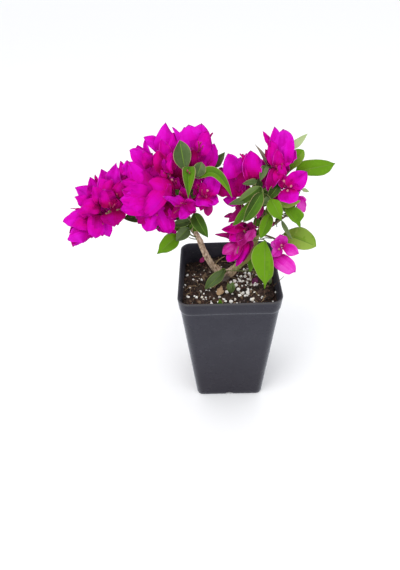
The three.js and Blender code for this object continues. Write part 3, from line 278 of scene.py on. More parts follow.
        ('rl3', 0.6, (-7.9, -8.2, 20.8), (-16.5, -13.2, 12.9), 5.3, (-0.12, -0.77, 0.62), -0.14, 0.35, (0.05, 0.05, 1, 1)),
        ('rl1b', 0.2, (-7.7, -7.2, 20), (-17.3, -5.2, 24.8), 5.3, (0.14, -0.78, 0.61), -0.154, 0.4, (0.35, 0.35, 1, 1)),
        ('rl4', 0.4, (-14, -9.2, 11), (7, -17.2, -3.9), 8.3, (-0.02, -0.9, 0.45), 0.18, -0.24, (0.55, 0.15, 1.05, 1)),
        ('rl4b', 1.5, (-13.7, -7.2, 10.7), (-4.4, -11.2, 8.5), 4.9, (-0.12, -0.67, 0.73), 0.18, -0.24, (-0.05, -0.05, 1, 1)),
    ],
    "right_heart": [
        ('rb3', 3.0, (6.5, 2, 6.1), (4.6, 0, 1.8), 2.1, (-0.17, -0.86, 0.47), 0.04, 0.16, (-0.2, -0.15, 1, 1)),
    ],
}

NAMED_LEAVES = {  # by mass, likewise: name, tone (its own green, lighter or darker with how lit it looks where it stands: painted light and shade), foot, tip, half width, facing, bow, fold in degrees, form, and a point that the arch leans to
    "far_left_under": [
        ('Lj', 4.8, (23, 13.6, -5.7), (4.3, 9.6, -5.3), 6.1, (0.18, -0.76, 0.63), 0.1, 10, (-0.15, -0.15, 1, 1)),
    ],
    "left_inner_crest": [
        ('La', 3.4, (-11.1, -20.4, -13.9), (-14.7, -12.4, 12.1), 8.1, (0.08, -0.95, 0.3), 0.05, 12, (-0.9, 0, 1, 1, 1.9)),
    ],
    "left_core": [
        ('Ln', 3, (9.9, 1.7, -13.9), (3.2, 3.7, -7.4), 3.4, (0.14, -0.9, 0.41), 0.1, 10, (-0.15, -0.15, 1, 1)),
    ],
    "left_low": [
        ('Lm', 5, (4.1, -0.2, 14.1), (2.8, 3.8, 22.2), 3.2, (0.12, -0.88, 0.46), 0.1, 10, (-0.15, -0.15, 1, 1)),
    ],
    "left_front": [
        ('Lb', 2.2, (-4.3, -0.9, 30.1), (-5.8, -14.9, 9.2), 6.8, (0.06, -0.83, 0.55), 0.1, 34, (-0.9, -0.9, 1, 1, 0.72)),
        ('Ld', 2, (3.3, 3.1, 17.6), (30.3, -14.9, 8.7), 5.3, (-0.13, -0.59, 0.8), 0.0, 22, (-0.1, -0.1, 1, 1), (18.4, 3.1, 33.4)),
        ('Ll', 5, (-6.7, 13.1, -4), (-0.2, 15.1, 0.6), 4.5, (-0.03, -0.9, 0.43), 0.1, 10, (-0.15, -0.15, 1, 1)),
    ],
    "left_inner_leaves": [
        ('Lc', 3, (-20, -14, 5.1), (-15.3, -10, 16.4), 5.9, (0.12, -0.95, 0.29), 0.12, 14, (0.4, 0.5, 1, 1, 1.3)),
        ('Le', 4, (-6.2, 8, 1.8), (5, 14, 14.1), 5.1, (-0.26, -0.75, 0.6), -0.1, 25, (-0.15, -0.15, 1, 1)),
    ],
    "left_low_leaves": [
        ('Lf', 3.7, (14.4, -10.1, 29.9), (26.6, -22.1, 10.7), 7.4, (-0.07, -0.87, 0.5), 0.12, 14, (-0.1, -0.4, 0.85, 0.95)),
        ('Lg', 4, (10, -6.1, 19), (-7.9, -10.1, 16.8), 4.7, (0.08, -0.73, 0.68), 0.08, 15, (-0.15, -0.15, 1, 1)),
        ('Lh', 2, (7.9, -2.1, 8.7), (-4.6, -10.1, -0.4), 6.6, (0.1, -0.81, 0.58), 0.1, 15, (-0.15, -0.15, 1, 1)),
        ('Li', 1, (-2.7, -4.1, 2.4), (-23.3, -18.1, -9.4), 8.3, (0.17, -0.77, 0.61), 0.06, 16, (0.1, 0.1, 1, 1, 1, 0.3)),
        ('Lk', 4, (4.2, 3.9, 21.9), (-3.5, -2.1, 18.1), 4.8, (0.27, -0.73, 0.63), 0.1, 10, (-0.15, -0.15, 1, 1)),
    ],
    "right_crest": [
        ('R4', 5, (-7.8, 1.9, -9.3), (-19.8, 5.9, 10.2), 2.0, (0.3, -0.88, 0.36), 0.16, 20, (-0.15, -0.15, 1, 1)),
        ('R5', 4.4, (-10.5, -4.1, -4.5), (-16.2, -14.1, -14.4), 3.8, (0.01, -0.71, 0.71), 0.1, 16, (-0.15, -0.15, 1, 1)),
    ],
    "right_wing": [
        ('R3', 1, (-15.8, -4.5, -2.3), (18.3, -2.5, 2.7), 7.9, (0, -0.93, 0.37), 0.1, 16, (-0.3, 2.5, 1.12, 0.84, 0.85, 0.35, 0.8)),
    ],
    "right_wing_upright": [
        ('R1', 0, (-6.7, -1, 0.3), (9.4, 11, 8.8), 3.7, (0.11, -0.67, 0.74), -0.04, 16, (-0.3, -0.3, 1, 1)),
        ('R2', 0.8, (-9.5, -11, -18.6), (4.9, -1, -1), 7.0, (-0.2, -0.77, 0.61), 0.1, 14, (0.8, 0.6, 1.1, 0.75, 1.7)),
    ],
    "right_flower": [
        ('R13', 1, (-19.2, -12.9, -0.3), (-10.5, -24.9, -15), 7.3, (-0.02, -0.78, 0.62), 0.18, 14, (0.1, 0.2, 0.74, 1.1, 1, 0.4)),
        ('R14', 0, (-10.4, -10.9, -7.7), (6.1, -14.9, -2.1), 3.8, (-0.35, -0.82, 0.45), 0.14, 10, (0.2, 0.5, 1, 1)),
        ('RT', 0, (11.4, 7.1, -2.6), (18.4, 7.1, -5.7), 1.8, (0.15, -0.93, 0.34), 0.0, 14, (-0.15, -0.15, 1, 1)),
    ],
    "right_core": [
        ('R6', 4, (4.8, -1.4, 20.2), (-8, -3.4, 18.9), 3.1, (0.09, -0.87, 0.48), 0.08, 16, (-0.15, -0.15, 1, 1)),
        ('R7', 3.6, (6.6, -9.4, 19), (-13.6, -13.4, 6), 5.0, (-0.02, -0.94, 0.33), 0.14, 10, (0.5, 0.3, 1, 1)),
        ('R7b', 4, (7.9, -7.4, 14.6), (-10.5, -11.4, 7.7), 4.4, (-0.14, -0.64, 0.75), 0.1, 10, (-0.15, -0.15, 1, 1)),
        ('R8', 4, (-0.1, -11.4, 10.3), (-20.7, -15.4, 6), 3.7, (0.06, -0.85, 0.52), 0.08, 16, (-0.15, -0.15, 1, 1)),
        ('R9', 3.8, (7.3, -19.4, 19.1), (-8.7, -27.4, -4.8), 6.7, (-0.11, -0.92, 0.38), 0.12, 18, (0.5, -0.5, 1.05, 0.8)),
        ('R10', 2.4, (-0.4, -12.4, 5.4), (-17.3, -19.4, -13.2), 4.3, (-0.26, -0.8, 0.54), 0.06, 20, (0.9, -0.5, 1.2, 0.7)),
        ('R10b', 4, (3.7, -5.4, 17.5), (8.6, -13.4, 6.1), 4.9, (-0.14, -0.84, 0.53), 0.1, 14, (-0.15, -0.15, 1, 1)),
        ('R11', 4.6, (23.9, -3.4, 16.6), (13.9, -9.4, 5.6), 4.9, (-0.09, -0.84, 0.54), 0.08, 16, (-0.15, -0.15, 1, 1)),
        ('R12', 4, (14.7, -11.4, 9.7), (7.3, -15.4, 2.4), 2.6, (-0.21, -0.75, 0.62), 0.08, 24, (-0.15, -0.15, 1, 1)),
        ('R16', 4.6, (6.5, 0.6, 7.4), (18.8, -3.4, 3.1), 5.4, (-0.12, -0.87, 0.48), 0.1, 10, (-0.15, -0.15, 1, 1)),
        ('R23', 4, (10.6, 6.6, 9), (-0.2, 10.6, 17.2), 4.5, (-0.03, -0.92, 0.4), 0.1, 12, (-0.15, -0.15, 1, 1)),
    ],
    "right_leaves": [
        ('R15', 1, (-3.1, -10.9, 11.9), (10.2, -20.9, -4.3), 7.2, (-0.24, -0.9, 0.36), 0.16, 14, (1.6, -1, 1.45, 0.35, 1, 0.6, 0.6)),
        ('R17', 1.3, (-15.7, -6.9, 2.7), (-24.4, -16.9, -17.5), 6.3, (-0.15, -0.86, 0.49), 0.12, 16, (-0.15, -0.15, 1, 1)),
        ('R19', 1, (-3.9, -2.9, -6.7), (6.4, -12.9, -22.8), 2.4, (-0.41, -0.87, 0.27), 0.05, 10, (-0.15, -0.15, 1, 1)),
    ],
    "right_side": [
        ('R18', 0, (-19.2, -2, 9.1), (11.2, -14, 1.4), 10.4, (-0.14, -0.76, 0.64), 0.18, 14, (0.9, 0.8, 1.12, 0.92)),
    ],
    "low_bracts": [
        ('R22', 0, (14.1, -11.8, 6), (-2.4, -19.8, -17.6), 2.6, (-0.34, -0.79, 0.51), 0.02, 26, (-0.15, -0.15, 1, 1), (13.1, -14.8, -10.5)),
        ('P1', 4, (-16.1, 4.2, -41.5), (-36.5, -11.8, -52.5), 6.2, (0.25, -0.74, 0.62), 0.14, 16, (0.2, 1.2, 0.85, 1.1)),
        ('P1b', 4, (-13.9, 6.2, -43.9), (-22.4, 4.2, -43.3), 3.2, (0.22, -0.74, 0.63), 0.1, 10, (-0.15, -0.15, 1, 1)),
    ],
    "drooping_leaves": [
        ('R20', 1, (-0.6, -1, 29.8), (-1.3, -23, -10.9), 12.3, (-0.13, -0.87, 0.47), 0.08, 12, (1.7, -1, 0.64, 1.06, 1, 0.6)),
        ('R21', 2.3, (-9.1, 9, 7), (-13.6, -3, -6.1), 4.5, (-0.24, -0.67, 0.7), 0.08, 14, (-0.15, -0.15, 1, 1)),
        ('P2', 2, (-32.1, -2, -35), (-30.2, 1, -21.6), 3.4, (-0.12, -0.96, 0.23), 0.1, 20, (0.6, 0.6, 1, 1, 1.5)),
        ('P2b', 3, (-32.5, -2, -34.3), (-35.2, 0, -22.5), 2.8, (0.09, -0.98, 0.19), 0.1, 20, (0.6, 0.6, 1, 1, 1.5)),
        ('P3', 2, (-44.1, -19, -36.2), (-43.9, -17, -28.4), 3.0, (-0.03, -0.97, 0.25), 0.1, 20, (-0.15, -0.15, 1, 1)),
        ('P4', 0, (10.3, 15, -38.3), (11.4, 20, -30.7), 2.0, (-0.15, -0.82, 0.56), 0.12, 20, (-0.15, -0.15, 1, 1)),
    ],
    "right_heart": [
        ('R17b', 3, (-12.8, -6, 13.5), (-5.5, -10, 9.2), 3.8, (-0.13, -0.83, 0.55), 0.1, 14, (-0.15, -0.15, 1, 1)),
    ],
}

NAMED_FLOWERS = {  # by mass, likewise: foot, mouth, kind (star is open on its tube, bud is closed, dry is a spent tube)
    "far_left_top": [
        ((4.6, -18.7, -7.8), (7, -28.7, 2.9), "bud"),
        ((5.5, -18.7, -7.8), (11.4, -29.7, 1.9), "bud"),
        ((5.7, -20.7, -8.7), (3.2, -32.7, -4.9), "dry"),
        ((5.5, -20.7, -9.7), (6, -33.7, -2.6), "dry"),
        ((11.4, -10.7, -3.4), (12.8, -19.7, 6.5), "bud"),
    ],
    "far_left_under": [
        ((-10.7, -6.4, 1.4), (-8.9, -16.4, 5.5), "bud"),
    ],
    "left_outer": [
        ((-14.8, -13.6, -8.7), (-16.7, -23.6, -2.7), "dry"),
    ],
    "left_inner_crest": [
        ((0.5, -6.4, -1.1), (2.8, -16.4, 11), "bud"),
        ((-0.3, -8.4, -0.2), (0.8, -18.4, 12.3), "bud"),
        ((-1.1, -8.4, -0.2), (4.3, -18.4, 8.9), "bud"),
    ],
    "left_core": [
        ((16, -6.3, 8.1), (16.6, -16.3, 19.6), "bud"),
        ((15.1, -6.3, 8.1), (18, -15.3, 17.3), "bud"),
        ((3.5, 3.7, -4), (2.2, -4.3, 6.3), "star"),
        ((4.5, 3.7, -2.1), (5.5, -4.3, 4.8), "bud"),
        ((-1.4, 5.7, 10.3), (-3.9, -4.3, 12.4), "bud"),
        ((0.1, 5.7, 8.4), (0.8, -4.3, 9.5), "bud"),
    ],
    "left_low": [
        ((-0.5, -8.2, 8.6), (-1.5, -18.2, 15.8), "bud"),
    ],
    "left_front": [
        ((7.9, -0.9, 3.1), (10.3, -11.9, 14.1), "star"),
        ((7.8, -0.9, 2.1), (9.3, -13.9, 10.2), "bud"),
        ((7, -0.9, 2.2), (5.8, -10.9, 14.2), "bud"),
        ((7, -0.9, 3.1), (2.9, -8.9, 6.8), "bud"),
        ((-10.9, 1.1, -5.1), (-12.5, -9.9, 2.2), "bud"),
        ((-10.9, 1.1, -6.1), (-17.3, -6.9, -2.2), "bud"),
        ((-11, 1.1, -7.1), (-19.1, -6.9, -8.6), "bud"),
        ((1.8, 9.1, 3.7), (1.5, -0.9, 14.2), "bud"),
        ((-12.5, 7.1, -0.5), (-13.3, -0.9, 7.8), "bud"),
        ((2.8, 7.1, -14.2), (1.2, 3.1, -9.3), "bud"),
        ((3, 7.1, -9.1), (4.7, 3.1, -12.4), "bud"),
    ],
    "right_crest": [
        ((-1.3, -10.1, -10.4), (-4.1, -18.1, 0.8), "bud"),
        ((1.6, -12.1, -7.7), (0.4, -20.1, 3.3), "bud"),
    ],
    "right_flower": [
        ((-6.3, -4.9, 5.5), (-9.6, -13.9, 16.8), "star"),
        ((-5.5, -4.9, 5.4), (-4.1, -17.9, 14), "star"),
        ((-5.4, -4.9, 4.5), (-7, -19.9, 11.1), "star"),
    ],
    "low_bracts": [
        ((-0.3, -9.8, 2.9), (-4.7, -21.8, 0.2), "dry"),
        ((4.1, -1.8, 5.3), (2, -11.8, 18.3), "dry"),
        ((2.1, -3.8, 2.1), (-0.7, -13.8, 11.4), "bud"),
    ],
    "right_low": [
        ((-7, -5.2, 15), (-9.1, -15.2, 28.1), "star"),
        ((-7, -5.2, 15), (-11, -15.2, 23.6), "star"),
        ((-6, -5.2, 15), (-6.4, -14.2, 26.2), "bud"),
    ],
}

GAPS = {  # open ways through the crown, by the nearest mass, likewise: a point, the way they run, their radius
    "far_left_tip": [
        ((-6.1, 2.4, 18.6), (-0.3086, 0.8235, -0.4761), 1.2),
        ((-2.2, 2.4, 19), (-0.3001, 0.8262, -0.4768), 1.2),
        ((-6.6, 2.4, -12.8), (-0.2984, 0.7927, -0.5316), 1.4),
        ((-24.1, 2.4, -19.5), (-0.3319, 0.7764, -0.5358), 2.0),
        ((-10.3, 2.4, -21.9), (-0.3027, 0.7818, -0.5451), 2.8),
        ((-16.8, 2.4, -25.4), (-0.3147, 0.7749, -0.5482), 1.8),
        ((-6.6, 2.4, -12.6), (-0.2984, 0.793, -0.5312), 1.0),
    ],
    "far_left_under": [
        ((2.2, 5.6, -12.5), (-0.2129, 0.8228, -0.527), 3.5),
        ((-3.6, 5.6, -14.6), (-0.2257, 0.8181, -0.529), 2.0),
    ],
    "left_crest": [
        ((-5.6, -2.1, 5.6), (-0.1351, 0.9177, -0.3735), 1.3),
        ((-4.3, -2.1, 2.5), (-0.1311, 0.9153, -0.3809), 1.4),
    ],
    "left_low": [
        ((-10.4, 9.8, -15.7), (-0.1388, 0.8313, -0.5383), 1.2),
    ],
    "left_low_leaves": [
        ((11.4, 3.9, -3.6), (-0.0461, 0.8275, -0.5595), 2.0),
        ((24, 3.9, -15.1), (-0.0153, 0.8154, -0.5787), 3.5),
    ],
    "middle_small": [
        ((-13.4, 2, 9.3), (0.0151, 0.8663, -0.4993), 3.4),
        ((-13, 2, 0.7), (0.0158, 0.8567, -0.5156), 4.0),
        ((-9.2, 2, 3.8), (0.0255, 0.86, -0.5097), 2.8),
    ],
    "right_crest": [
        ((12.9, -2.1, -10.1), (0.1875, 0.885, -0.4261), 1.2),
        ((-13, -2.1, 4.2), (0.1234, 0.9085, -0.3991), 1.7),
        ((-13.6, -2.1, 0.2), (0.1212, 0.9048, -0.4082), 1.1),
    ],
    "right_wing": [
        ((5.3, -4.5, -2.2), (0.2478, 0.8709, -0.4243), 1.8),
        ((-4.4, -4.5, -8.5), (0.2228, 0.87, -0.4399), 1.3),
    ],
    "right_wing_upright": [
        ((-2, -9, -11.9), (0.1961, 0.8862, -0.4197), 1.3),
        ((-1.6, -9, -7.3), (0.1979, 0.8905, -0.4097), 0.9),
        ((1.4, -9, -3.3), (0.2063, 0.8928, -0.4004), 1.0),
        ((3.2, -9, 2.4), (0.2123, 0.8972, -0.3873), 2.6),
        ((10, -9, 2.1), (0.2292, 0.8934, -0.3864), 5.1),
    ],
    "right_flower": [
        ((12.7, 11.1, 0.2), (0.2123, 0.8651, -0.4544), 1.8),
    ],
    "right_leaves": [
        ((-0, 7.1, -4.2), (0.1713, 0.8414, -0.5126), 1.3),
        ((0.6, 7.1, -3.2), (0.1729, 0.8423, -0.5105), 1.5),
        ((3.2, 7.1, -11), (0.1774, 0.833, -0.524), 1.2),
        ((-0.2, 7.1, -15.4), (0.1683, 0.8295, -0.5325), 2.5),
    ],
    "right_side": [
        ((-18.4, 0, 13.6), (0.1717, 0.82, -0.546), 2.0),
        ((-1.9, 0, 10.6), (0.2089, 0.8107, -0.5469), 1.0),
    ],
    "low_bracts": [
        ((-22.3, 10.2, 15.6), (0.0128, 0.8456, -0.5337), 5.3),
        ((-26.5, 10.2, 4.2), (0.0025, 0.8329, -0.5535), 6.4),
        ((-13.7, 10.2, -11.9), (0.0331, 0.8141, -0.5797), 1.5),
        ((-27.8, 10.2, -10.2), (-0.0007, 0.8166, -0.5772), 4.5),
    ],
    "right_low": [
        ((-7.7, 12.8, 17.9), (0.1566, 0.8118, -0.5626), 3.2),
        ((16.4, 12.8, -20), (0.2012, 0.7633, -0.6139), 3.7),
        ((14.2, 12.8, -9.3), (0.1993, 0.7754, -0.5992), 2.1),
        ((-21.8, 12.8, -14.5), (0.1181, 0.7799, -0.6146), 1.1),
    ],
    "right_heart": [
        ((9.6, 4, -6.3), (0.1498, 0.8208, -0.5513), 4.9),
        ((15.1, 4, -1.8), (0.1637, 0.8239, -0.5426), 3.4),
        ((5, 4, -10.8), (0.1381, 0.8171, -0.5597), 3.2),
        ((1.3, 4, -15.5), (0.1286, 0.8129, -0.568), 2.2),
    ],
}

NAMED_TWIGS = {  # by the nearest mass, likewise: from, to, radius at each end
    "left_low_leaves": [
        ((5.9, 1.9, 2.7), (14.2, 5.9, -7.5), 0.7, 0.8),
        ((7.4, 1.9, -5.1), (15.1, 5.9, -10), 0.45, 0.6),
    ],
    "right_leaves": [
        ((-6.8, 7.1, -17.4), (1.6, 7.1, -9.2), 0.45, 0.35),
    ],
    "drooping_leaves": [
        ((6.9, 15, -16.2), (0.2, -1, 29.2), 0.6, 0.5),
    ],
    "right_heart": [
        ((-3.1, 4, -6.9), (10, 4, 1.8), 0.55, 0.45),
        ((10.9, 4, 2.4), (11.2, 4, -1.7), 0.4, 0.5),
        ((-3.5, -2, -11.1), (5.2, -8, -6.7), 0.5, 0.45),
    ],
}

# Lobes of the masses, as in the CAD part: x, y, z, rx, ry, rz, turn about Y in degrees.
MASSES = {
    "far_left_tip": ("bract", [[-135, -3, 232, 24, 21, 17, -35], [-148, -3, 220, 15, 14, 11, -35]]),
    "far_left_top": ("bract", [[-113, 3, 265, 25, 22, 18, -24], [-98, 6, 272, 13, 16, 13, 0]]),
    "far_left_under": ("bract", [[-108, -6, 240, 17, 17, 14, -10]]),
    "far_left_back": ("bract", [[-113, 33, 241, 23, 18, 18, -15]]),
    "left_outer": ("bract", [[-82, -2, 270, 20, 24, 22, 10], [-88, -8, 250, 15, 17, 15, 0]]),
    "left_crest": ("bract", [[-56, 2, 301, 18, 20, 22, 8], [-69, 2, 289, 14, 16, 13, 0]]),
    "left_inner_crest": ("bract", [[-29, 2, 302, 20, 20, 22, 0]]),
    "left_core": ("bract", [[-51, -16, 279, 19, 16, 18, 0]]),
    "left_low": ("bract", [[-66, -10, 243, 20, 18, 17, 0], [-54, -6, 231, 14, 12, 11, 0]]),
    "left_front": ("bract", [[-24, -24, 272, 18, 15, 15, 0], [-38, -20, 259, 14, 13, 12, 0]]),
    "left_inner_leaves": ("leaf", [[-10, -6, 285, 15, 11, 9, 25], [-1, -8, 275, 9, 8, 8, 40]]),
    "left_low_leaves": ("leaf", [[-39, -4, 222, 16, 13, 16, 0], [-56, -6, 211, 17, 9, 9, -40]]),
    "left_back": ("bract", [[-66, 37, 263, 25, 18, 23, 0], [-84, 33, 251, 16, 15, 15, 0]]),
    "left_inner_back": ("bract", [[-27, 36, 266, 20, 17, 21, 0]]),
    "left_back_leaves": ("leaf", [[-52, 30, 229, 19, 16, 13, 0]]),
    "middle_bracts": ("bract", [[3, 4, 278, 16, 16, 17, 0], [17, 4, 284, 11, 13, 13, 0]]),
    "middle_small": ("bract", [[3, -2, 240, 11, 11, 16, 0]]),
    "right_crest": ("bract", [[45, 2, 297, 15, 16, 19, 0], [41, 0, 276, 14, 14, 12, 0]]),
    "right_wing": ("leaf", [[76, 5, 281, 21, 12, 8, -4]]),
    "right_wing_upright": ("leaf", [[61, 9, 295, 9, 9, 13, 30]]),
    "right_flower": ("bract", [[55, -11, 266, 16, 15, 16, 0]]),
    "right_core": ("leaf", [[23, -9, 259, 17, 15, 17, 0], [12, -12, 247, 12, 10, 12, 35]]),
    "right_leaves": ("leaf", [[61, -6, 241, 15, 14, 13, 0], [44, -9, 243, 13, 13, 12, 0]]),
    "right_side": ("leaf", [[73, 0, 205, 17, 12, 11, 25]]),
    "low_bracts": ("bract", [[9, -10, 211, 19, 15, 17, 0], [20, -10, 224, 13, 13, 11, 0]]),
    "right_low": ("bract", [[54, -13, 199, 14, 13, 13, 0], [63, -13, 183, 12, 11, 13, 0]]),
    "drooping_leaves": ("leaf", [[34, -23, 193, 11, 10, 26, 0]]),
    "right_heart": ("leaf", [[36, -4, 222, 14, 12, 13, 0]]),
    "right_back": ("bract", [[36, 32, 262, 20, 17, 21, 0], [52, 27, 246, 15, 14, 14, 0]]),
    "right_back_leaves": ("leaf", [[34, 26, 225, 18, 15, 14, 0], [58, 22, 222, 16, 13, 12, 0]]),
    "middle_back": ("leaf", [[4, 28, 252, 14, 14, 14, 0]]),
}


# ------------------------------------------------------------------ small vector helpers
def unit(v):
    v = np.asarray(v, float)
    return v / max(1e-12, np.linalg.norm(v))


def units(v):
    return v / np.maximum(1e-12, np.linalg.norm(v, axis=-1, keepdims=True))


def across(e, rng):
    """A direction at right angles to e."""
    v = rng.normal(size=3)
    return unit(v - e * (v @ e))


class Soup:
    """Vertices and faces gathered from many small shapes, which become one joined mesh."""

    def __init__(self):
        self.v, self.q, self.qm, self.qs, self.t, self.tm, self.n = [], [], [], [], [], [], 0

    def add(self, verts, quads=None, qm=0, smooth=True, tris=None, tm=0):
        verts = np.asarray(verts, float).reshape(-1, 3)
        self.v.append(verts)
        if quads is not None and len(quads):
            quads = np.asarray(quads, np.int64).reshape(-1, 4)
            self.q.append(quads + self.n)
            self.qm.append(np.broadcast_to(np.asarray(qm, np.int64), (len(quads),)))
            self.qs.append(np.broadcast_to(np.asarray(smooth, bool), (len(quads),)))
        if tris is not None and len(tris):
            tris = np.asarray(tris, np.int64).reshape(-1, 3)
            self.t.append(tris + self.n)
            self.tm.append(np.broadcast_to(np.asarray(tm, np.int64), (len(tris),)))
        self.n += len(verts)

    def triangles(self):
        return 2 * sum(len(q) for q in self.q) + sum(len(t) for t in self.t)

    def object(self, name, materials):
        v = np.concatenate(self.v) * MM
        q = np.concatenate(self.q) if self.q else np.zeros((0, 4), np.int64)
        t = np.concatenate(self.t) if self.t else np.zeros((0, 3), np.int64)
        me = bpy.data.meshes.new(name)
        me.vertices.add(len(v))
        me.vertices.foreach_set("co", v.astype(np.float32).ravel())
        loops = np.concatenate([q.ravel(), t.ravel()]).astype(np.int32)
        me.loops.add(len(loops))
        me.loops.foreach_set("vertex_index", loops)
        starts = np.concatenate([4 * np.arange(len(q)), 4 * len(q) + 3 * np.arange(len(t))]).astype(np.int32)
        me.polygons.add(len(starts))
        me.polygons.foreach_set("loop_start", starts)
        mats = np.concatenate([*self.qm, *self.tm]) if (self.qm or self.tm) else np.zeros(0)
        me.polygons.foreach_set("material_index", mats.astype(np.int32))
        flags = np.concatenate([*self.qs, np.ones(len(t), bool)]) if self.qs else np.ones(len(t), bool)
        me.polygons.foreach_set("use_smooth", flags)
        for m in materials:
            me.materials.append(m)
        me.update(calc_edges=True)
        me.validate()
        ob = bpy.data.objects.new(name, me)
        bpy.context.scene.collection.objects.link(ob)
        return ob


# ------------------------------------------------------------------ materials
def principled(name, colour, rough=0.6, specular=0.4, **more):
    m = bpy.data.materials.new(name)
    m.use_nodes = True
    p = m.node_tree.nodes["Principled BSDF"]
    p.inputs["Base Color"].default_value = (*colour, 1)
    p.inputs["Roughness"].default_value = rough
    p.inputs["Specular IOR Level"].default_value = specular
    for key, value in more.items():
        p.inputs[key.replace("_", " ")].default_value = value
    return m


def nodes_of(m):
    nt = m.node_tree
    return nt, nt.nodes["Principled BSDF"]


def node(nt, kind, **values):
    n = nt.nodes.new(kind)
    for k, v in values.items():
        if k in n.inputs:
            n.inputs[k].default_value = v
        else:
            setattr(n, k, v)
    return n


def ramp(nt, fac, stops):
    r = nt.nodes.new("ShaderNodeValToRGB")
    e = r.color_ramp.elements
    e[0].position, e[0].color = stops[0][0], (*stops[0][1], 1)
    e[1].position, e[1].color = stops[1][0], (*stops[1][1], 1)
    for at, colour in stops[2:]:
        x = e.new(at)
        x.color = (*colour, 1)
    nt.links.new(fac, r.inputs["Fac"])
    return r


def noise(nt, coords, scale, detail=4, rough=0.55, **more):
    n = node(nt, "ShaderNodeTexNoise", Scale=scale, Detail=detail, Roughness=rough, **more)
    nt.links.new(coords, n.inputs["Vector"])
    return n


def bump(nt, p, height, strength, distance, normal=None):
    b = node(nt, "ShaderNodeBump", Strength=strength, Distance=distance)
    nt.links.new(height, b.inputs["Height"])
    if normal is not None:
        nt.links.new(normal, b.inputs["Normal"])
    nt.links.new(b.outputs["Normal"], p.inputs["Normal"])
    return b


def mix_colours(nt, fac, a, b, blend="MIX"):
    n = nt.nodes.new("ShaderNodeMix")
    n.data_type = "RGBA"
    n.blend_type = blend
    for key, value in ((0, fac), (6, a), (7, b)):
        if isinstance(value, (int, float)):
            n.inputs[key].default_value = value
        elif isinstance(value, tuple):
            n.inputs[key].default_value = (*value, 1)
        else:
            nt.links.new(value, n.inputs[key])
    return n.outputs[2]


# ------------------------------------------------------------------ a blade: one bract or leaf
ALONG = [0, 0.03, 0.08, 0.16, 0.28, 0.40, 0.54, 0.68, 0.80, 0.89, 0.95, 1]
SHAPES = {  # half width along the blade: drawn to a long point, and rounded with a short one
    "bract": (
        np.array([0.14, 0.44, 0.70, 0.91, 1.00, 0.96, 0.82, 0.60, 0.37, 0.19, 0.085, 0.006]),
        np.array([0.12, 0.38, 0.62, 0.82, 0.95, 1.00, 1.00, 0.94, 0.79, 0.56, 0.31, 0.010]),
    ),
    "leaf": (
        np.array([0.06, 0.26, 0.58, 0.88, 1.00, 0.95, 0.78, 0.55, 0.33, 0.165, 0.075, 0.006]),
        np.array([0.05, 0.16, 0.36, 0.62, 0.86, 0.98, 1.00, 0.90, 0.70, 0.45, 0.22, 0.010]),
    ),
}
ACROSS = {
    "bract": np.array([-1, -0.95, -0.74, -0.47, -0.22, 0, 0.22, 0.47, 0.74, 0.95, 1]),
    "leaf": np.array([-1, -0.94, -0.70, -0.42, -0.19, -0.045, 0.045, 0.19, 0.42, 0.70, 0.94, 1]),
}


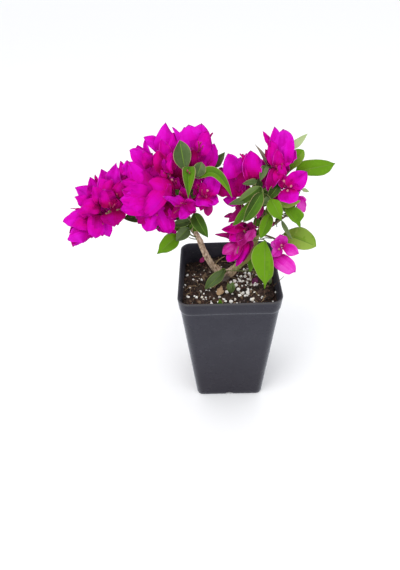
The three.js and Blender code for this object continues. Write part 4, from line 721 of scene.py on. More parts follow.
def sheet(kind, foot, tip, half, facing, rng, bow=0.1, fold=0.0, cup=0.2, curl=0.0, twist=0.0, wave=0.1, waves=2.5, crinkle=0.02, steps=14, lean=None, thick=0.25, fine=True, form=(0.0, 0.0, 1.0, 1.0), creases=0.0, pleat=0.0):
    """The two faces and rim of one thin blade, as vertices, quads, and each quad's place: s along it, t across it, and
    which face it is on; and the painted light and shade of its folds.
    """
    foot, tip = np.asarray(foot, float), np.asarray(tip, float)
    length = np.linalg.norm(tip - foot)
    e = unit(tip - foot)
    n0 = unit(np.asarray(facing, float) - e * (np.asarray(facing, float) @ e))
    x = np.linspace(0, 1, steps + 1)
    s = 0.65 * x + 0.35 * (0.5 - 0.5 * np.cos(np.pi * x))
    t = ACROSS[kind] if fine else ACROSS[kind][[0, 2, 3, 5, 7, 8, 10]] if kind == "bract" else ACROSS[kind][[0, 1, 3, 5, 6, 8, 10, 11]]
    pointed, rounded = SHAPES[kind]
    drawn = s ** (form[4] if len(form) > 4 else 1.0)  # over 1 the blade is widest nearer its tip
    sides = [np.interp(drawn, ALONG, (pointed + rounded) / 2 + (rounded - pointed) / 2 * r) * k for r, k in zip(form[:2], form[2:4])]
    if len(form) > 5:  # a drawn-out point
        q = np.clip((s - (form[6] if len(form) > 6 else 0.70)) / 0.18, 0, 1)
        sides = [w * (1 - form[5] * q * q * (3 - 2 * q)) for w in sides]
    uneven_edge = 1 + 0.05 * np.sin(9 * s + rng.uniform(0, 6)) * (1 - s)
    middle = (foot + tip) / 2 + n0 * 2 * bow * length if lean is None else np.asarray(lean, float)
    spine = np.outer((1 - s) ** 2, foot) + np.outer(2 * s * (1 - s), middle) + np.outer(s**2, tip)
    spine = spine + np.outer(curl * length * (s**3 - s * 0.4) * 0.6, n0)
    along = units(np.gradient(spine, s, axis=0))
    up = units(n0[None, :] - along * (along @ n0)[:, None])
    side = np.cross(up, along)
    turn = twist * (s - 0.3)
    up, side = (
        up * np.cos(turn)[:, None] + side * np.sin(turn)[:, None],
        side * np.cos(turn)[:, None] - up * np.sin(turn)[:, None],
    )
    S, T = s[:, None], t[None, :]
    W = half * np.where(T > 0, sides[0][:, None], sides[1][:, None]) * uneven_edge[:, None]
    a = np.abs(T)
    ph = rng.uniform(0, 2 * np.pi, 6)
    lift = a * W * math.sin(fold) + cup * W * T**2 * np.clip(1.25 - S, 0, 1)
    lift = lift + wave * half * a**1.6 * np.sin(2 * np.pi * waves * S + ph[0] + (T > 0) * (1.2 + ph[1] * 0.5)) * np.clip(4 * (1 - S), 0, 1)
    lift = lift + crinkle * length * (np.sin(7 * S + 3.1 * T + ph[2]) * np.sin(4 * S - 4.3 * T + ph[3]) + 0.5 * np.sin(15 * S + 5 * T + ph[4]) * np.sin(6 * T + ph[5])) * np.clip(6 * S, 0, 1)
    # tint is painted light and shade: lighter and darker tones on the two sides of each fold and facet
    tint = np.zeros((len(s), len(t)))
    folds = np.zeros((len(s), len(t)))
    for k in range(2 if creases else 0):  # straight folds across the blade, with painted light on one side of each and painted shade on the other
        way, off = rng.uniform(-0.9, 0.9) + (0, math.pi, 1.2)[k], rng.uniform(-0.25, 0.25)
        d = (T * np.where(T > 0, sides[0][:, None], sides[1][:, None]) * half / max(length, 1e-6)) * math.cos(way) + (S - 0.48) * math.sin(way) - off * 0.6
        folds = folds - creases * length * np.sqrt(d**2 + 0.0009)
        tint = tint + np.tanh(d / 0.03) * 0.26
    if pleat:  # folds that fan out from the foot, their facets turned alternately to and from the light
        phase = 2 * np.pi * (rng.uniform(0.42, 0.62) * T + rng.uniform(-0.35, 0.35) * (S - 0.5) + rng.uniform(0, 1))
        lift = lift + pleat * half * (2 / np.pi) * np.arcsin(np.sin(phase)) * (0.3 + 0.7 * S) * np.clip(5 * (1 - S), 0, 1) * np.clip(8 * S, 0, 1)
        # painted light and shade on the facets, as if turned to and from the light
        tint = tint + 0.42 * np.tanh(2.2 * np.cos(phase)) * np.clip(4 * S, 0, 1) * np.clip(5 * (1 - S), 0, 1)
    centre = len(t) // 2
    lift = lift + folds - (1 - S) * folds[0, centre] - S * folds[-1, centre]  # the foot and the tip stay where they were put
    quilt = np.cos(2 * np.pi * (7 * (S - 0.28 * a)))
    lift = lift + 0.022 * half * quilt * np.clip(4 * a * (1 - a), 0, 1) * (1 if kind == "leaf" else 0.8)
    lift = lift - 0.045 * half * np.exp(-((T / 0.10) ** 2)) * (1 - S)
    flat = math.cos(fold)
    P = spine[:, None, :] + side[:, None, :] * (T * W * flat)[..., None] + up[:, None, :] * lift[..., None]
    ds = np.gradient(P, axis=0)
    dt = np.gradient(P, axis=1)
    nrm = units(np.cross(ds, dt))
    th = thick * 0.5 * (1 - 0.5 * a[..., None] ** 3)
    top, under = P + nrm * th, P - nrm * th
    ni, nj = len(s), len(t)
    i, j = np.meshgrid(np.arange(ni - 1), np.arange(nj - 1), indexing="ij")
    a0 = (i * nj + j).ravel()
    q_top = np.stack([a0, a0 + nj, a0 + nj + 1, a0 + 1], 1)
    off = ni * nj
    q_under = q_top[:, ::-1] + off
    rim = [k * nj for k in range(ni)] + [(ni - 1) * nj + k for k in range(1, nj)] + [k * nj + nj - 1 for k in range(ni - 2, -1, -1)] + [k for k in range(nj - 2, 0, -1)]
    rim = np.array(rim)
    nxt = np.roll(rim, -1)
    q_rim = np.stack([nxt, rim, rim + off, nxt + off], 1)
    sc = ((s[:-1] + s[1:]) / 2)[i.ravel()]
    tc = ((t[:-1] + t[1:]) / 2)[j.ravel()]
    tint = ((tint[:-1, :-1] + tint[1:, 1:]) / 2)[i.ravel(), j.ravel()]
    tint = np.concatenate([tint, tint, np.zeros(len(rim))])
    verts = np.concatenate([top.reshape(-1, 3), under.reshape(-1, 3)])
    quads = np.concatenate([q_top, q_under, q_rim])
    face = np.concatenate([np.zeros(len(q_top)), np.ones(len(q_top)), np.full(len(q_rim), 2)]).astype(int)
    sc = np.concatenate([sc, sc, np.full(len(q_rim), 0.5)])
    tc = np.concatenate([tc, tc, np.ones(len(q_rim))])
    return verts, quads, sc, tc, face, tint


# from lit magenta to the crimson of the crown's depths: the darker, redder tones paint in shade and the light passed
# through the bracts
BRACT_TONES = [
    (0.620, 0.007, 0.505),
    (0.585, 0.002, 0.425),
    (0.560, 0.001, 0.355),
    (0.535, 0.001, 0.288),
    (0.510, 0.001, 0.222),
    (0.465, 0.001, 0.160),
    (0.400, 0.001, 0.112),
    (0.310, 0.001, 0.075),
]
DUSTY_TONES = [(0.52, 0.050, 0.31), (0.45, 0.018, 0.23), (0.38, 0.009, 0.165), (0.29, 0.006, 0.115), (0.17, 0.006, 0.065), (0.07, 0.008, 0.028)]
SHADE_TONES = [tuple(round(k * v, 4) for v in c) for k, c in zip((0.90, 0.85, 0.80, 0.76, 0.73, 0.70, 0.66, 0.6), BRACT_TONES)]  # painted shade: the same hues, darkened for blades further into the crown
PINK_TONES = [(0.76, 0.075, 0.56), (0.69, 0.030, 0.48), (0.62, 0.010, 0.38), (0.55, 0.006, 0.28), (0.48, 0.004, 0.19)]
LEAF_TONES = [
    (0.26, 0.38, 0.060),
    (0.122, 0.272, 0.009),
    (0.084, 0.205, 0.009),
    (0.058, 0.140, 0.013),
    (0.045, 0.096, 0.012),
    (0.030, 0.057, 0.010),
]
GREY_TONES = [(0.19, 0.26, 0.110), (0.115, 0.168, 0.062), (0.074, 0.122, 0.036), (0.049, 0.083, 0.021), (0.032, 0.054, 0.013)]  # painted reflection: leaves with the sky's grey sheen painted into their colour
FINER = 3  # each step between two tones is dealt out in this many


def stepped(tones):
    t = np.array(tones)
    x = np.arange((len(t) - 1) * FINER + 1) / FINER
    return [tuple(round(float(np.interp(v, np.arange(len(t)), t[:, k])), 4) for k in range(3)) for v in x]


BRACT_STEPS, DUSTY_STEPS, PINK_STEPS, SHADE_STEPS, LEAF_STEPS, GREY_STEPS = (stepped(t) for t in (BRACT_TONES, DUSTY_TONES, PINK_TONES, SHADE_TONES, LEAF_TONES, GREY_TONES))
ALL_BRACT_STEPS = BRACT_STEPS + DUSTY_STEPS + PINK_STEPS + SHADE_STEPS
FAMILY, PALE_EDGE = {}, 0  # which material each family of tones starts at, and how many it has
for family_name, family_steps in (("bright", BRACT_STEPS), ("dusty", DUSTY_STEPS), ("pink", PINK_STEPS), ("shade", SHADE_STEPS)):
    FAMILY[family_name] = (PALE_EDGE, len(family_steps))
    PALE_EDGE += len(family_steps)
BRACT_POINT = PALE_EDGE + 1
LEAF_UNDER, LEAF_MARGIN, LEAF_MIDRIB, LEAF_MARGIN_PINK, LEAF_PALE, LEAF_DRY, LEAF_OLIVE = (len(LEAF_STEPS) + len(GREY_STEPS) + k for k in range(7))


def bract(soup, foot, tip, half, facing, rng, tone=2, bloom_shade=1.0, fine=True, steps=14, edged=0.3, fold_shading=1.0, family="bright", **how):
    how.setdefault("creases", abs(rng.normal()) * 0.11 + 0.08)
    how.setdefault("fold", rng.normal() * 0.13)
    how.setdefault("pleat", rng.uniform(0.06, 0.20))
    v, q, s, t, face, tint = sheet("bract", foot, tip, half, facing, rng, steps=steps, fine=fine, **how)
    ph = rng.uniform(0, 6, 3)
    # painted shade: crimson deepening toward the foot, inside the bloom, and a little lighter toward the tip
    shade = tone + bloom_shade * (2.0 * np.clip((0.45 - s) / 0.45, 0, 1) - 0.4 * np.clip((s - 0.6) / 0.4, 0, 1)) + 0.4 * np.exp(-((t / 0.12) ** 2))
    shade = shade + 0.7 * np.sin(6 * s + 3 * t + ph[0]) * np.sin(3 * s - 5 * t + ph[1]) - 0.5 * (np.abs(t) > 0.9)
    # the folds' painted light and shade (tint) is added here
    shade = shade + np.where(face == 1, 0.35, 0.0) + tint * fold_shading
    first, many = FAMILY[family]
    m = first + np.clip(np.round(FINER * (shade + rng.uniform(-0.15, 0.15, len(shade)))), 0, many - 1).astype(int)
    if family == "bright":  # painted shade: facets turned from the light take the shade family's darker tones
        m[tint * fold_shading > 0.42] += FAMILY["shade"][0]
    pale = rng.uniform() < edged and tone < 4.5 and family in ("bright", "shade")
    m[face == 2] = PALE_EDGE if pale else first + int(np.clip(round(FINER * (tone - 1)), 0, many - 1))
    if pale and fine:
        m[(np.abs(t) > 0.95) & (s > 0.2)] = PALE_EDGE
    if fine and family in ("bright", "shade"):
        m[(s > 0.955) & (face != 2)] = BRACT_POINT
    soup.add(v, q, m, face != 2)


def leaf(soup, foot, tip, half, facing, rng, tone=2, pink=False, fine=True, steps=18, half_shade=None, plain=None, grey=False, turned=0, **how):
    how.setdefault("cup", 0.05)
    how.setdefault("wave", 0.06)
    how.setdefault("crinkle", 0.008)
    v, q, s, t, face, _ = sheet("leaf", foot, tip, half, facing, rng, steps=steps, fine=fine, **how)
    ph = rng.uniform(0, 6, 3)
    # painted shade: one half of the leaf is darker than the other, as if turned from the light
    if half_shade is None:
        half_shade = rng.choice([-0.35, 0.35])
    shade = tone + half_shade * np.sign(t) + (0.45 if tone > 1.5 else 0.2) * np.sin(5 * s + 2 * t + ph[0]) * np.sin(2 * s - 4 * t + ph[1]) + rng.uniform(-0.1, 0.1, len(s))
    shade = np.maximum(shade + 0.4 * np.clip(0.25 - s, 0, 1) * 4, min(tone, 1.0))
    m = np.clip(np.round(FINER * shade), 0, len(LEAF_STEPS) - 1).astype(int)
    # painted reflection: the grey tones paint in the sky's sheen
    if grey:
        m = len(LEAF_STEPS) + np.clip(np.round(FINER * shade), 0, len(GREY_STEPS) - 1).astype(int)
    if turned:  # one half's top face takes the paler underside colour, as where that half is turned up
        m[(np.sign(t) == turned) & (face == 0)] = LEAF_UNDER
    m[face == 1] = LEAF_UNDER
    rib = (np.abs(t) < 0.06) & (s < 0.9)
    m[rib] = LEAF_MIDRIB
    edge = np.abs(t) > 0.93
    m[edge | (face == 2)] = LEAF_MARGIN_PINK if pink else LEAF_MARGIN
    if plain is not None:
        m[:] = plain
    soup.add(v, q, m, face != 2)


# ------------------------------------------------------------------ tubes: limbs, twigs, flower tubes
def smooth_path(points, count):
    """Evenly spaced points on a centripetal Catmull-Rom curve through the way points."""
    p = np.asarray(points, float)
    if len(p) == 2:
        return p[0] + np.linspace(0, 1, count)[:, None] * (p[1] - p[0])
    p = np.vstack([2 * p[0] - p[1], p, 2 * p[-1] - p[-2]])
    out = []
    for k in range(1, len(p) - 2):
        p0, p1, p2, p3 = p[k - 1 : k + 3]
        t0 = 0.0
        t1 = t0 + np.linalg.norm(p1 - p0) ** 0.5
        t2 = t1 + np.linalg.norm(p2 - p1) ** 0.5
        t3 = t2 + np.linalg.norm(p3 - p2) ** 0.5
        u = np.linspace(t1, t2, 24, endpoint=False)[:, None]
        a1 = (t1 - u) / (t1 - t0) * p0 + (u - t0) / (t1 - t0) * p1
        a2 = (t2 - u) / (t2 - t1) * p1 + (u - t1) / (t2 - t1) * p2
        a3 = (t3 - u) / (t3 - t2) * p2 + (u - t2) / (t3 - t2) * p3
        b1 = (t2 - u) / (t2 - t0) * a1 + (u - t0) / (t2 - t0) * a2
        b2 = (t3 - u) / (t3 - t1) * a2 + (u - t1) / (t3 - t1) * a3
        out.append((t2 - u) / (t2 - t1) * b1 + (u - t1) / (t2 - t1) * b2)
    out.append(p[-2][None])
    c = np.concatenate(out)
    d = np.concatenate([[0], np.cumsum(np.linalg.norm(np.diff(c, axis=0), axis=1))])
    at = np.linspace(0, d[-1], count)
    return np.stack([np.interp(at, d, c[:, k]) for k in range(3)], 1)


def frames(path):
    """A tangent and two side directions at each point, carried along without twisting."""
    tan = units(np.gradient(path, axis=0))
    u = np.empty_like(path)
    first = np.cross(tan[0], [0.3, 0.9, 0.2])
    u[0] = unit(first)
    for k in range(1, len(path)):
        v = u[k - 1] - tan[k] * (u[k - 1] @ tan[k])
        u[k] = unit(v)
    return tan, u, np.cross(tan, u)


def tube(soup, path, radii, sides=6, m=0, relief=None, caps=(True, True), squash=1.0):
    """A closed tube round a path. relief(k, angle) gives the radius factor, ring by ring."""
    path = np.asarray(path, float)
    tan, u, v = frames(path)
    ang = 2 * np.pi * np.arange(sides) / sides
    radii = np.broadcast_to(np.asarray(radii, float), (len(path),))
    R = radii[:, None] * (np.ones((len(path), sides)) if relief is None else relief(np.linspace(0, 1, len(path))[:, None], ang[None, :]))
    ring = path[:, None, :] + R[..., None] * (np.cos(ang)[None, :, None] * u[:, None, :] + squash * np.sin(ang)[None, :, None] * v[:, None, :])
    verts = np.concatenate([ring.reshape(-1, 3), path[:1], path[-1:]])
    n = len(path)
    i, j = np.meshgrid(np.arange(n - 1), np.arange(sides), indexing="ij")
    a0, a1 = (i * sides + j).ravel(), (i * sides + (j + 1) % sides).ravel()
    quads = np.stack([a0, a1, a1 + sides, a0 + sides], 1)
    mats = m if np.isscalar(m) else np.asarray(m)[i.ravel()]
    jj = np.arange(sides)
    lo = np.stack([np.full(sides, n * sides), (jj + 1) % sides, jj], 1)
    hi = np.stack([np.full(sides, n * sides + 1), (n - 1) * sides + jj, (n - 1) * sides + (jj + 1) % sides], 1)
    m0, m1 = (m, m) if np.isscalar(m) else (m[0], m[-1])
    soup.add(verts, quads, mats, True, np.concatenate([lo, hi]), np.concatenate([np.full(sides, m0), np.full(sides, m1)]))


def blob(soup, centre, size, rng, m=0, detail=1, rough=0.25, turn=None):
    """An uneven pebble."""
    v, f = ICO[detail]
    d = rng.normal(size=(5, 3)) * 1.7
    k = 1 + rough * sum(np.sin(v @ d[i] + i) for i in range(5)) / 2.2
    w = v * k[:, None] * np.asarray(size, float)
    if turn is None:
        turn = random_turn(rng)
    soup.add(w @ turn.T + np.asarray(centre, float), None, 0, True, f, m)


def random_turn(rng):
    q = rng.normal(size=4)
    q /= np.linalg.norm(q)
    w, x, y, z = q
    return np.array(
        [
            [1 - 2 * (y * y + z * z), 2 * (x * y - z * w), 2 * (x * z + y * w)],
            [2 * (x * y + z * w), 1 - 2 * (x * x + z * z), 2 * (y * z - x * w)],
            [2 * (x * z - y * w), 2 * (y * z + x * w), 1 - 2 * (x * x + y * y)],
        ]
    )


def icosphere(detail):
    g = (1 + 5**0.5) / 2
    v = [(-1, g, 0), (1, g, 0), (-1, -g, 0), (1, -g, 0), (0, -1, g), (0, 1, g), (0, -1, -g), (0, 1, -g), (g, 0, -1), (g, 0, 1), (-g, 0, -1), (-g, 0, 1)]
    f = [(0, 11, 5), (0, 5, 1), (0, 1, 7), (0, 7, 10), (0, 10, 11), (1, 5, 9), (5, 11, 4), (11, 10, 2), (10, 7, 6), (7, 1, 8), (3, 9, 4), (3, 4, 2), (3, 2, 6), (3, 6, 8), (3, 8, 9), (4, 9, 5), (2, 4, 11), (6, 2, 10), (8, 6, 7), (9, 8, 1)]
    v = [unit(x) for x in v]
    for _ in range(detail):
        seen, new = {}, []

        def mid(a, b):
            key = (min(a, b), max(a, b))
            if key not in seen:
                seen[key] = len(v)
                v.append(unit((v[a] + v[b]) / 2))
            return seen[key]

        for a, b, c in f:
            ab, bc, ca = mid(a, b), mid(b, c), mid(c, a)
            new += [(a, ab, ca), (b, bc, ab), (c, ca, bc), (ab, bc, ca)]
        f = new
    return np.array(v), np.array(f)


ICO = {d: icosphere(d) for d in (0, 1, 2)}

# ------------------------------------------------------------------ camera, light, floor: the picture's view
def picture():
    azimuth, elevation, roll = map(math.radians, (2.50, 41.02, -3.29))
    at = Vector((-16.0, -340.4, 444.6)) * MM
    back = Vector((math.sin(azimuth) * math.cos(elevation), -math.cos(azimuth) * math.cos(elevation), math.sin(elevation)))
    x = Vector((0, 0, 1)).cross(back).normalized()
    y = back.cross(x)
    x2 = math.cos(roll) * x + math.sin(roll) * y
    y2 = -math.sin(roll) * x + math.cos(roll) * y
    data = bpy.data.cameras.new("camera")
    data.lens, data.sensor_width, data.sensor_fit = 25.91, 36.0, "AUTO"
    data.clip_start, data.clip_end = 0.01, 50
    cam = bpy.data.objects.new("camera", data)
    cam.matrix_world = Matrix(((x2.x, y2.x, back.x, at.x), (x2.y, y2.y, back.y, at.y), (x2.z, y2.z, back.z, at.z), (0, 0, 0, 1)))
    bpy.context.scene.collection.objects.link(cam)
    bpy.context.scene.camera = cam

    me = bpy.data.meshes.new("floor")
    me.from_pydata([(-6, -6, -0.0003), (6, -6, -0.0003), (6, 6, -0.0003), (-6, 6, -0.0003)], [], [(0, 1, 2, 3)])
    floor = bpy.data.objects.new("floor", me)
    me.materials.append(principled("floor", (0.93, 0.935, 0.95), rough=0.9, specular=0.1))
    bpy.context.scene.collection.objects.link(floor)

    world = bpy.data.worlds.new("studio")
    world.use_nodes = True
    bg = world.node_tree.nodes["Background"]
    bg.inputs["Color"].default_value = (0.985, 0.99, 1.0, 1)
    bg.inputs["Strength"].default_value = WORLD
    bpy.context.scene.world = world
    for name, place, aim, size, power, colour in LIGHTS:
        data = bpy.data.lights.new(name, "AREA")
        data.shape, data.size, data.energy, data.color = "DISK", size, power, colour
        ob = bpy.data.objects.new(name, data)
        direction = Vector(aim) - Vector(place)
        ob.matrix_world = Matrix.Translation(Vector(place)) @ direction.to_track_quat("-Z", "Y").to_matrix().to_4x4()
        bpy.context.scene.collection.objects.link(ob)
    view = bpy.context.scene.view_settings
    view.view_transform, view.look, view.exposure, view.gamma = "Standard", "None", EXPOSURE, 1.0


WORLD = 1.06
EXPOSURE = 0.0
LIGHTS = [
    ("key", (-0.45, -0.45, 1.35), (0, 0, 0.2), 0.6, 5.0, (1.0, 0.985, 0.96)),
    ("fill", (0.9, -0.7, 0.8), (0, 0, 0.2), 0.9, 1.5, (0.95, 0.98, 1.0)),
    ("back", (0.2, 1.1, 0.9), (0, 0, 0.2), 0.8, 1.5, (1.0, 1.0, 1.0)),
]


# ------------------------------------------------------------------ pot
def pot_width(z):
    return POT["foot"] + (POT["top"] - 2 * POT["step"] - POT["foot"]) * z / POT["height"]


def pot_corner(z):
    return POT["corner_foot"] + (POT["corner_top"] - POT["corner_foot"]) * z / POT["height"]


def rounded_square(width, radius, z, per_corner=14, per_side=14):
    h = width / 2 - radius
    out = []
    for q in range(4):
        cx = h if q in (0, 3) else -h
        cy = h if q < 2 else -h
        arc = [(cx + radius * math.cos((q + i / per_corner) * math.pi / 2), cy + radius * math.sin((q + i / per_corner) * math.pi / 2)) for i in range(per_corner + 1)]
        out += arc
        nx = -h if q in (0, 1) else h
        end = {0: (-h, h + radius), 1: (-h - radius, -h), 2: (h, -h - radius), 3: (h + radius, h)}[q]
        x0, y0 = arc[-1]
        out += [(x0 + (end[0] - x0) * k / per_side, y0 + (end[1] - y0) * k / per_side) for k in range(1, per_side)]
    return np.array([(x, y, z) for x, y in out])


def ring_faces(n, a, b):
    j = np.arange(n)
    k = (j + 1) % n
    return np.stack([a + j, a + k, b + k, b + j], 1)


def make_pot():
    H, wall = POT["height"], POT["wall"]
    band = H - POT["band"]

    def outer(z, grow=0.0):
        return rounded_square(pot_width(z) + 2 * grow, max(1.0, pot_corner(z) + grow), z)

    rings = [outer(0.0, -1.5), outer(0.25, -0.8), outer(0.8, -0.25), outer(1.6, 0.0)]
    rings += [outer(z) for z in np.linspace(6, band - 2.2, 26)]
    rings += [outer(band - 2.0, 0.02), outer(band - 1.3, 0.14), outer(band - 0.6, 0.42), outer(band + 0.3, POT["step"] - 0.16), outer(band + 1.2, POT["step"])]
    rings += [outer(z, POT["step"]) for z in (band + 4, band + 8, H - 3.4)]
    rings += [outer(H - 2.6, POT["step"] - 0.02), outer(H - 1.0, POT["step"]), outer(H - 0.35, POT["step"] - 0.12), outer(H - 0.05, POT["step"] - 0.5), outer(H, POT["step"] - 0.85)]
    rings += [outer(H - 0.05, -0.35), outer(H - 0.4, -0.85), outer(H - 1.2, -wall + 0.4), outer(H - 2.4, -wall)]
    rings += [outer(z, -wall) for z in np.linspace(H - 8, 8, 20)]
    rings += [outer(POT["floor"] + 1.5, -wall), outer(POT["floor"] + 0.4, -wall - 0.5), outer(POT["floor"], -wall - 1.4)]
    n = len(rings[0])
    # a moulded wall is never dead flat: it draws in a hair between the corners
    for r in rings:
        z = r[:, 2]
        lim = np.clip(1 - (np.abs(r[:, 0]) / 38) ** 2, 0, 1) * (np.abs(r[:, 1]) > 30) + np.clip(1 - (np.abs(r[:, 1]) / 38) ** 2, 0, 1) * (np.abs(r[:, 0]) > 30)
        pull = 0.55 * lim * np.clip(z / 20, 0, 1) * np.clip((H - z) / 20, 0, 1)
        r[:, 0] -= np.sign(r[:, 0]) * pull * (np.abs(r[:, 0]) > 30)
        r[:, 1] -= np.sign(r[:, 1]) * pull * (np.abs(r[:, 1]) > 30)
    verts = np.concatenate(rings + [np.array([[0, 0, 0.0], [0, 0, POT["floor"]]])])
    soup = Soup()
    quads = np.concatenate([ring_faces(n, k * n, (k + 1) * n) for k in range(len(rings) - 1)])
    last = (len(rings) - 1) * n
    j = np.arange(n)
    k = (j + 1) % n
    lo = np.stack([np.full(n, len(verts) - 2), k, j], 1)
    hi = np.stack([np.full(n, len(verts) - 1), last + j, last + k], 1)
    soup.add(verts, quads, 0, True, np.concatenate([lo, hi]), 0)
    ob = soup.object("pot_body", [MATERIAL["pot"]])
    # four low arched drain slots through the foot of the walls
    cut = Soup()
    for q in range(4):
        turn = np.array([[math.cos(q * math.pi / 2), -math.sin(q * math.pi / 2), 0], [math.sin(q * math.pi / 2), math.cos(q * math.pi / 2), 0], [0, 0, 1]])
        w, h = POT["slot_wide"] / 2, POT["slot_high"]
        arch = [(-w, -1.0), (w, -1.0), (w, h * 0.4)] + [(w * math.cos(a), h * 0.4 + h * 0.6 * math.sin(a)) for a in np.linspace(0, math.pi, 13)[1:-1]] + [(-w, h * 0.4)]
        m = len(arch)
        y0, y1 = POT["foot"] / 2 + 3, POT["foot"] / 2 - 5.2
        v = np.array([(x, -y0, z) for x, z in arch] + [(x, -y1, z) for x, z in arch] + [(0, -y0, 1.0), (0, -y1, 1.0)])
        jj = np.arange(m)
        kk = (jj + 1) % m
        side = np.stack([jj, jj + m, kk + m, kk], 1)
        caps = np.concatenate([np.stack([np.full(m, 2 * m), jj, kk], 1), np.stack([np.full(m, 2 * m + 1), kk + m, jj + m], 1)])
        cut.add(v @ turn.T, side, 0, False, caps, 0)
    cutter = cut.object("cutter", [MATERIAL["pot"]])
    mod = ob.modifiers.new("slots", "BOOLEAN")
    mod.operation, mod.solver, mod.object = "DIFFERENCE", "EXACT", cutter
    dg = bpy.context.evaluated_depsgraph_get()
    me = bpy.data.meshes.new_from_object(ob.evaluated_get(dg))
    ob.modifiers.clear()
    ob.data = me
    bpy.data.objects.remove(cutter)
    me.polygons.foreach_set("use_smooth", np.ones(len(me.polygons), bool))
    me.set_sharp_from_angle(angle=math.radians(42))
    me.materials.clear()
    me.materials.append(MATERIAL["pot"])
    me.materials.append(MATERIAL["pot_inside"])
    # faces that look in toward the axis take the inside copy, with its painted light and shade
    way = np.array([[*p.center[:2], *p.normal[:2], p.center[2]] for p in me.polygons])
    me.polygons.foreach_set("material_index", (((way[:, 0] * way[:, 2] + way[:, 1] * way[:, 3]) < -0.004) & (way[:, 4] > 0.004)).astype(np.int32))
    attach(ob, "root")
    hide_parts("pot")


# ------------------------------------------------------------------ potting mix
def uneven(x, y, z, seed):
    return (
        np.sin(x + seed * 1.7) * np.cos(y * 1.1 - seed * 0.9)
        + np.sin(y * 2.1 + seed * 2.3) * np.cos(z * 1.9 + seed) * 0.7
        + np.sin(z * 2.7 - seed * 1.3) * np.cos(x * 2.4 + seed * 0.4) * 0.5
    ) / 2.2


def lumps(x, y, rng_seed, scale):
    """Smooth value noise on the plane, from a seeded lattice."""
    rng = np.random.default_rng(rng_seed)
    n = 64
    g = rng.uniform(-1, 1, (n, n))
    fx, fy = x / scale + 17.3, y / scale + 9.1
    i, j = np.floor(fx).astype(int), np.floor(fy).astype(int)
    u, v = fx - i, fy - j
    u, v = u * u * (3 - 2 * u), v * v * (3 - 2 * v)
    at = lambda a, b: g[a % n, b % n]
    return (at(i, j) * (1 - u) + at(i + 1, j) * u) * (1 - v) + (at(i, j + 1) * (1 - u) + at(i + 1, j + 1) * u) * v


def mix_height(x, y):
    x, y = np.asarray(x, float), np.asarray(y, float)
    near = np.clip((np.hypot(x - FOOT[0], y - FOOT[1]) - 9) / 10, 0, 1)
    side = -1.6 * (y / 45) - np.where((x < 0) & (y > 0), 4 * -x * y / 1600, 0)
    z = MIX_LEVEL + near * (side + 1.2 * uneven(x / 9, y / 9, 1, 3))
    z = z - 3.0 * np.clip((-x - 22) / 16, 0, 1) * np.clip((y - 12) / 16, 0, 1)
    z = z + 0.9 * lumps(x, y, 5, 6.0) + 0.75 * lumps(x, y, 6, 2.6) + 0.5 * lumps(x, y, 7, 1.2)
    edge = np.maximum(np.abs(x), np.abs(y))
    return z - 0.8 * np.clip((edge - 44) / 5, 0, 1)


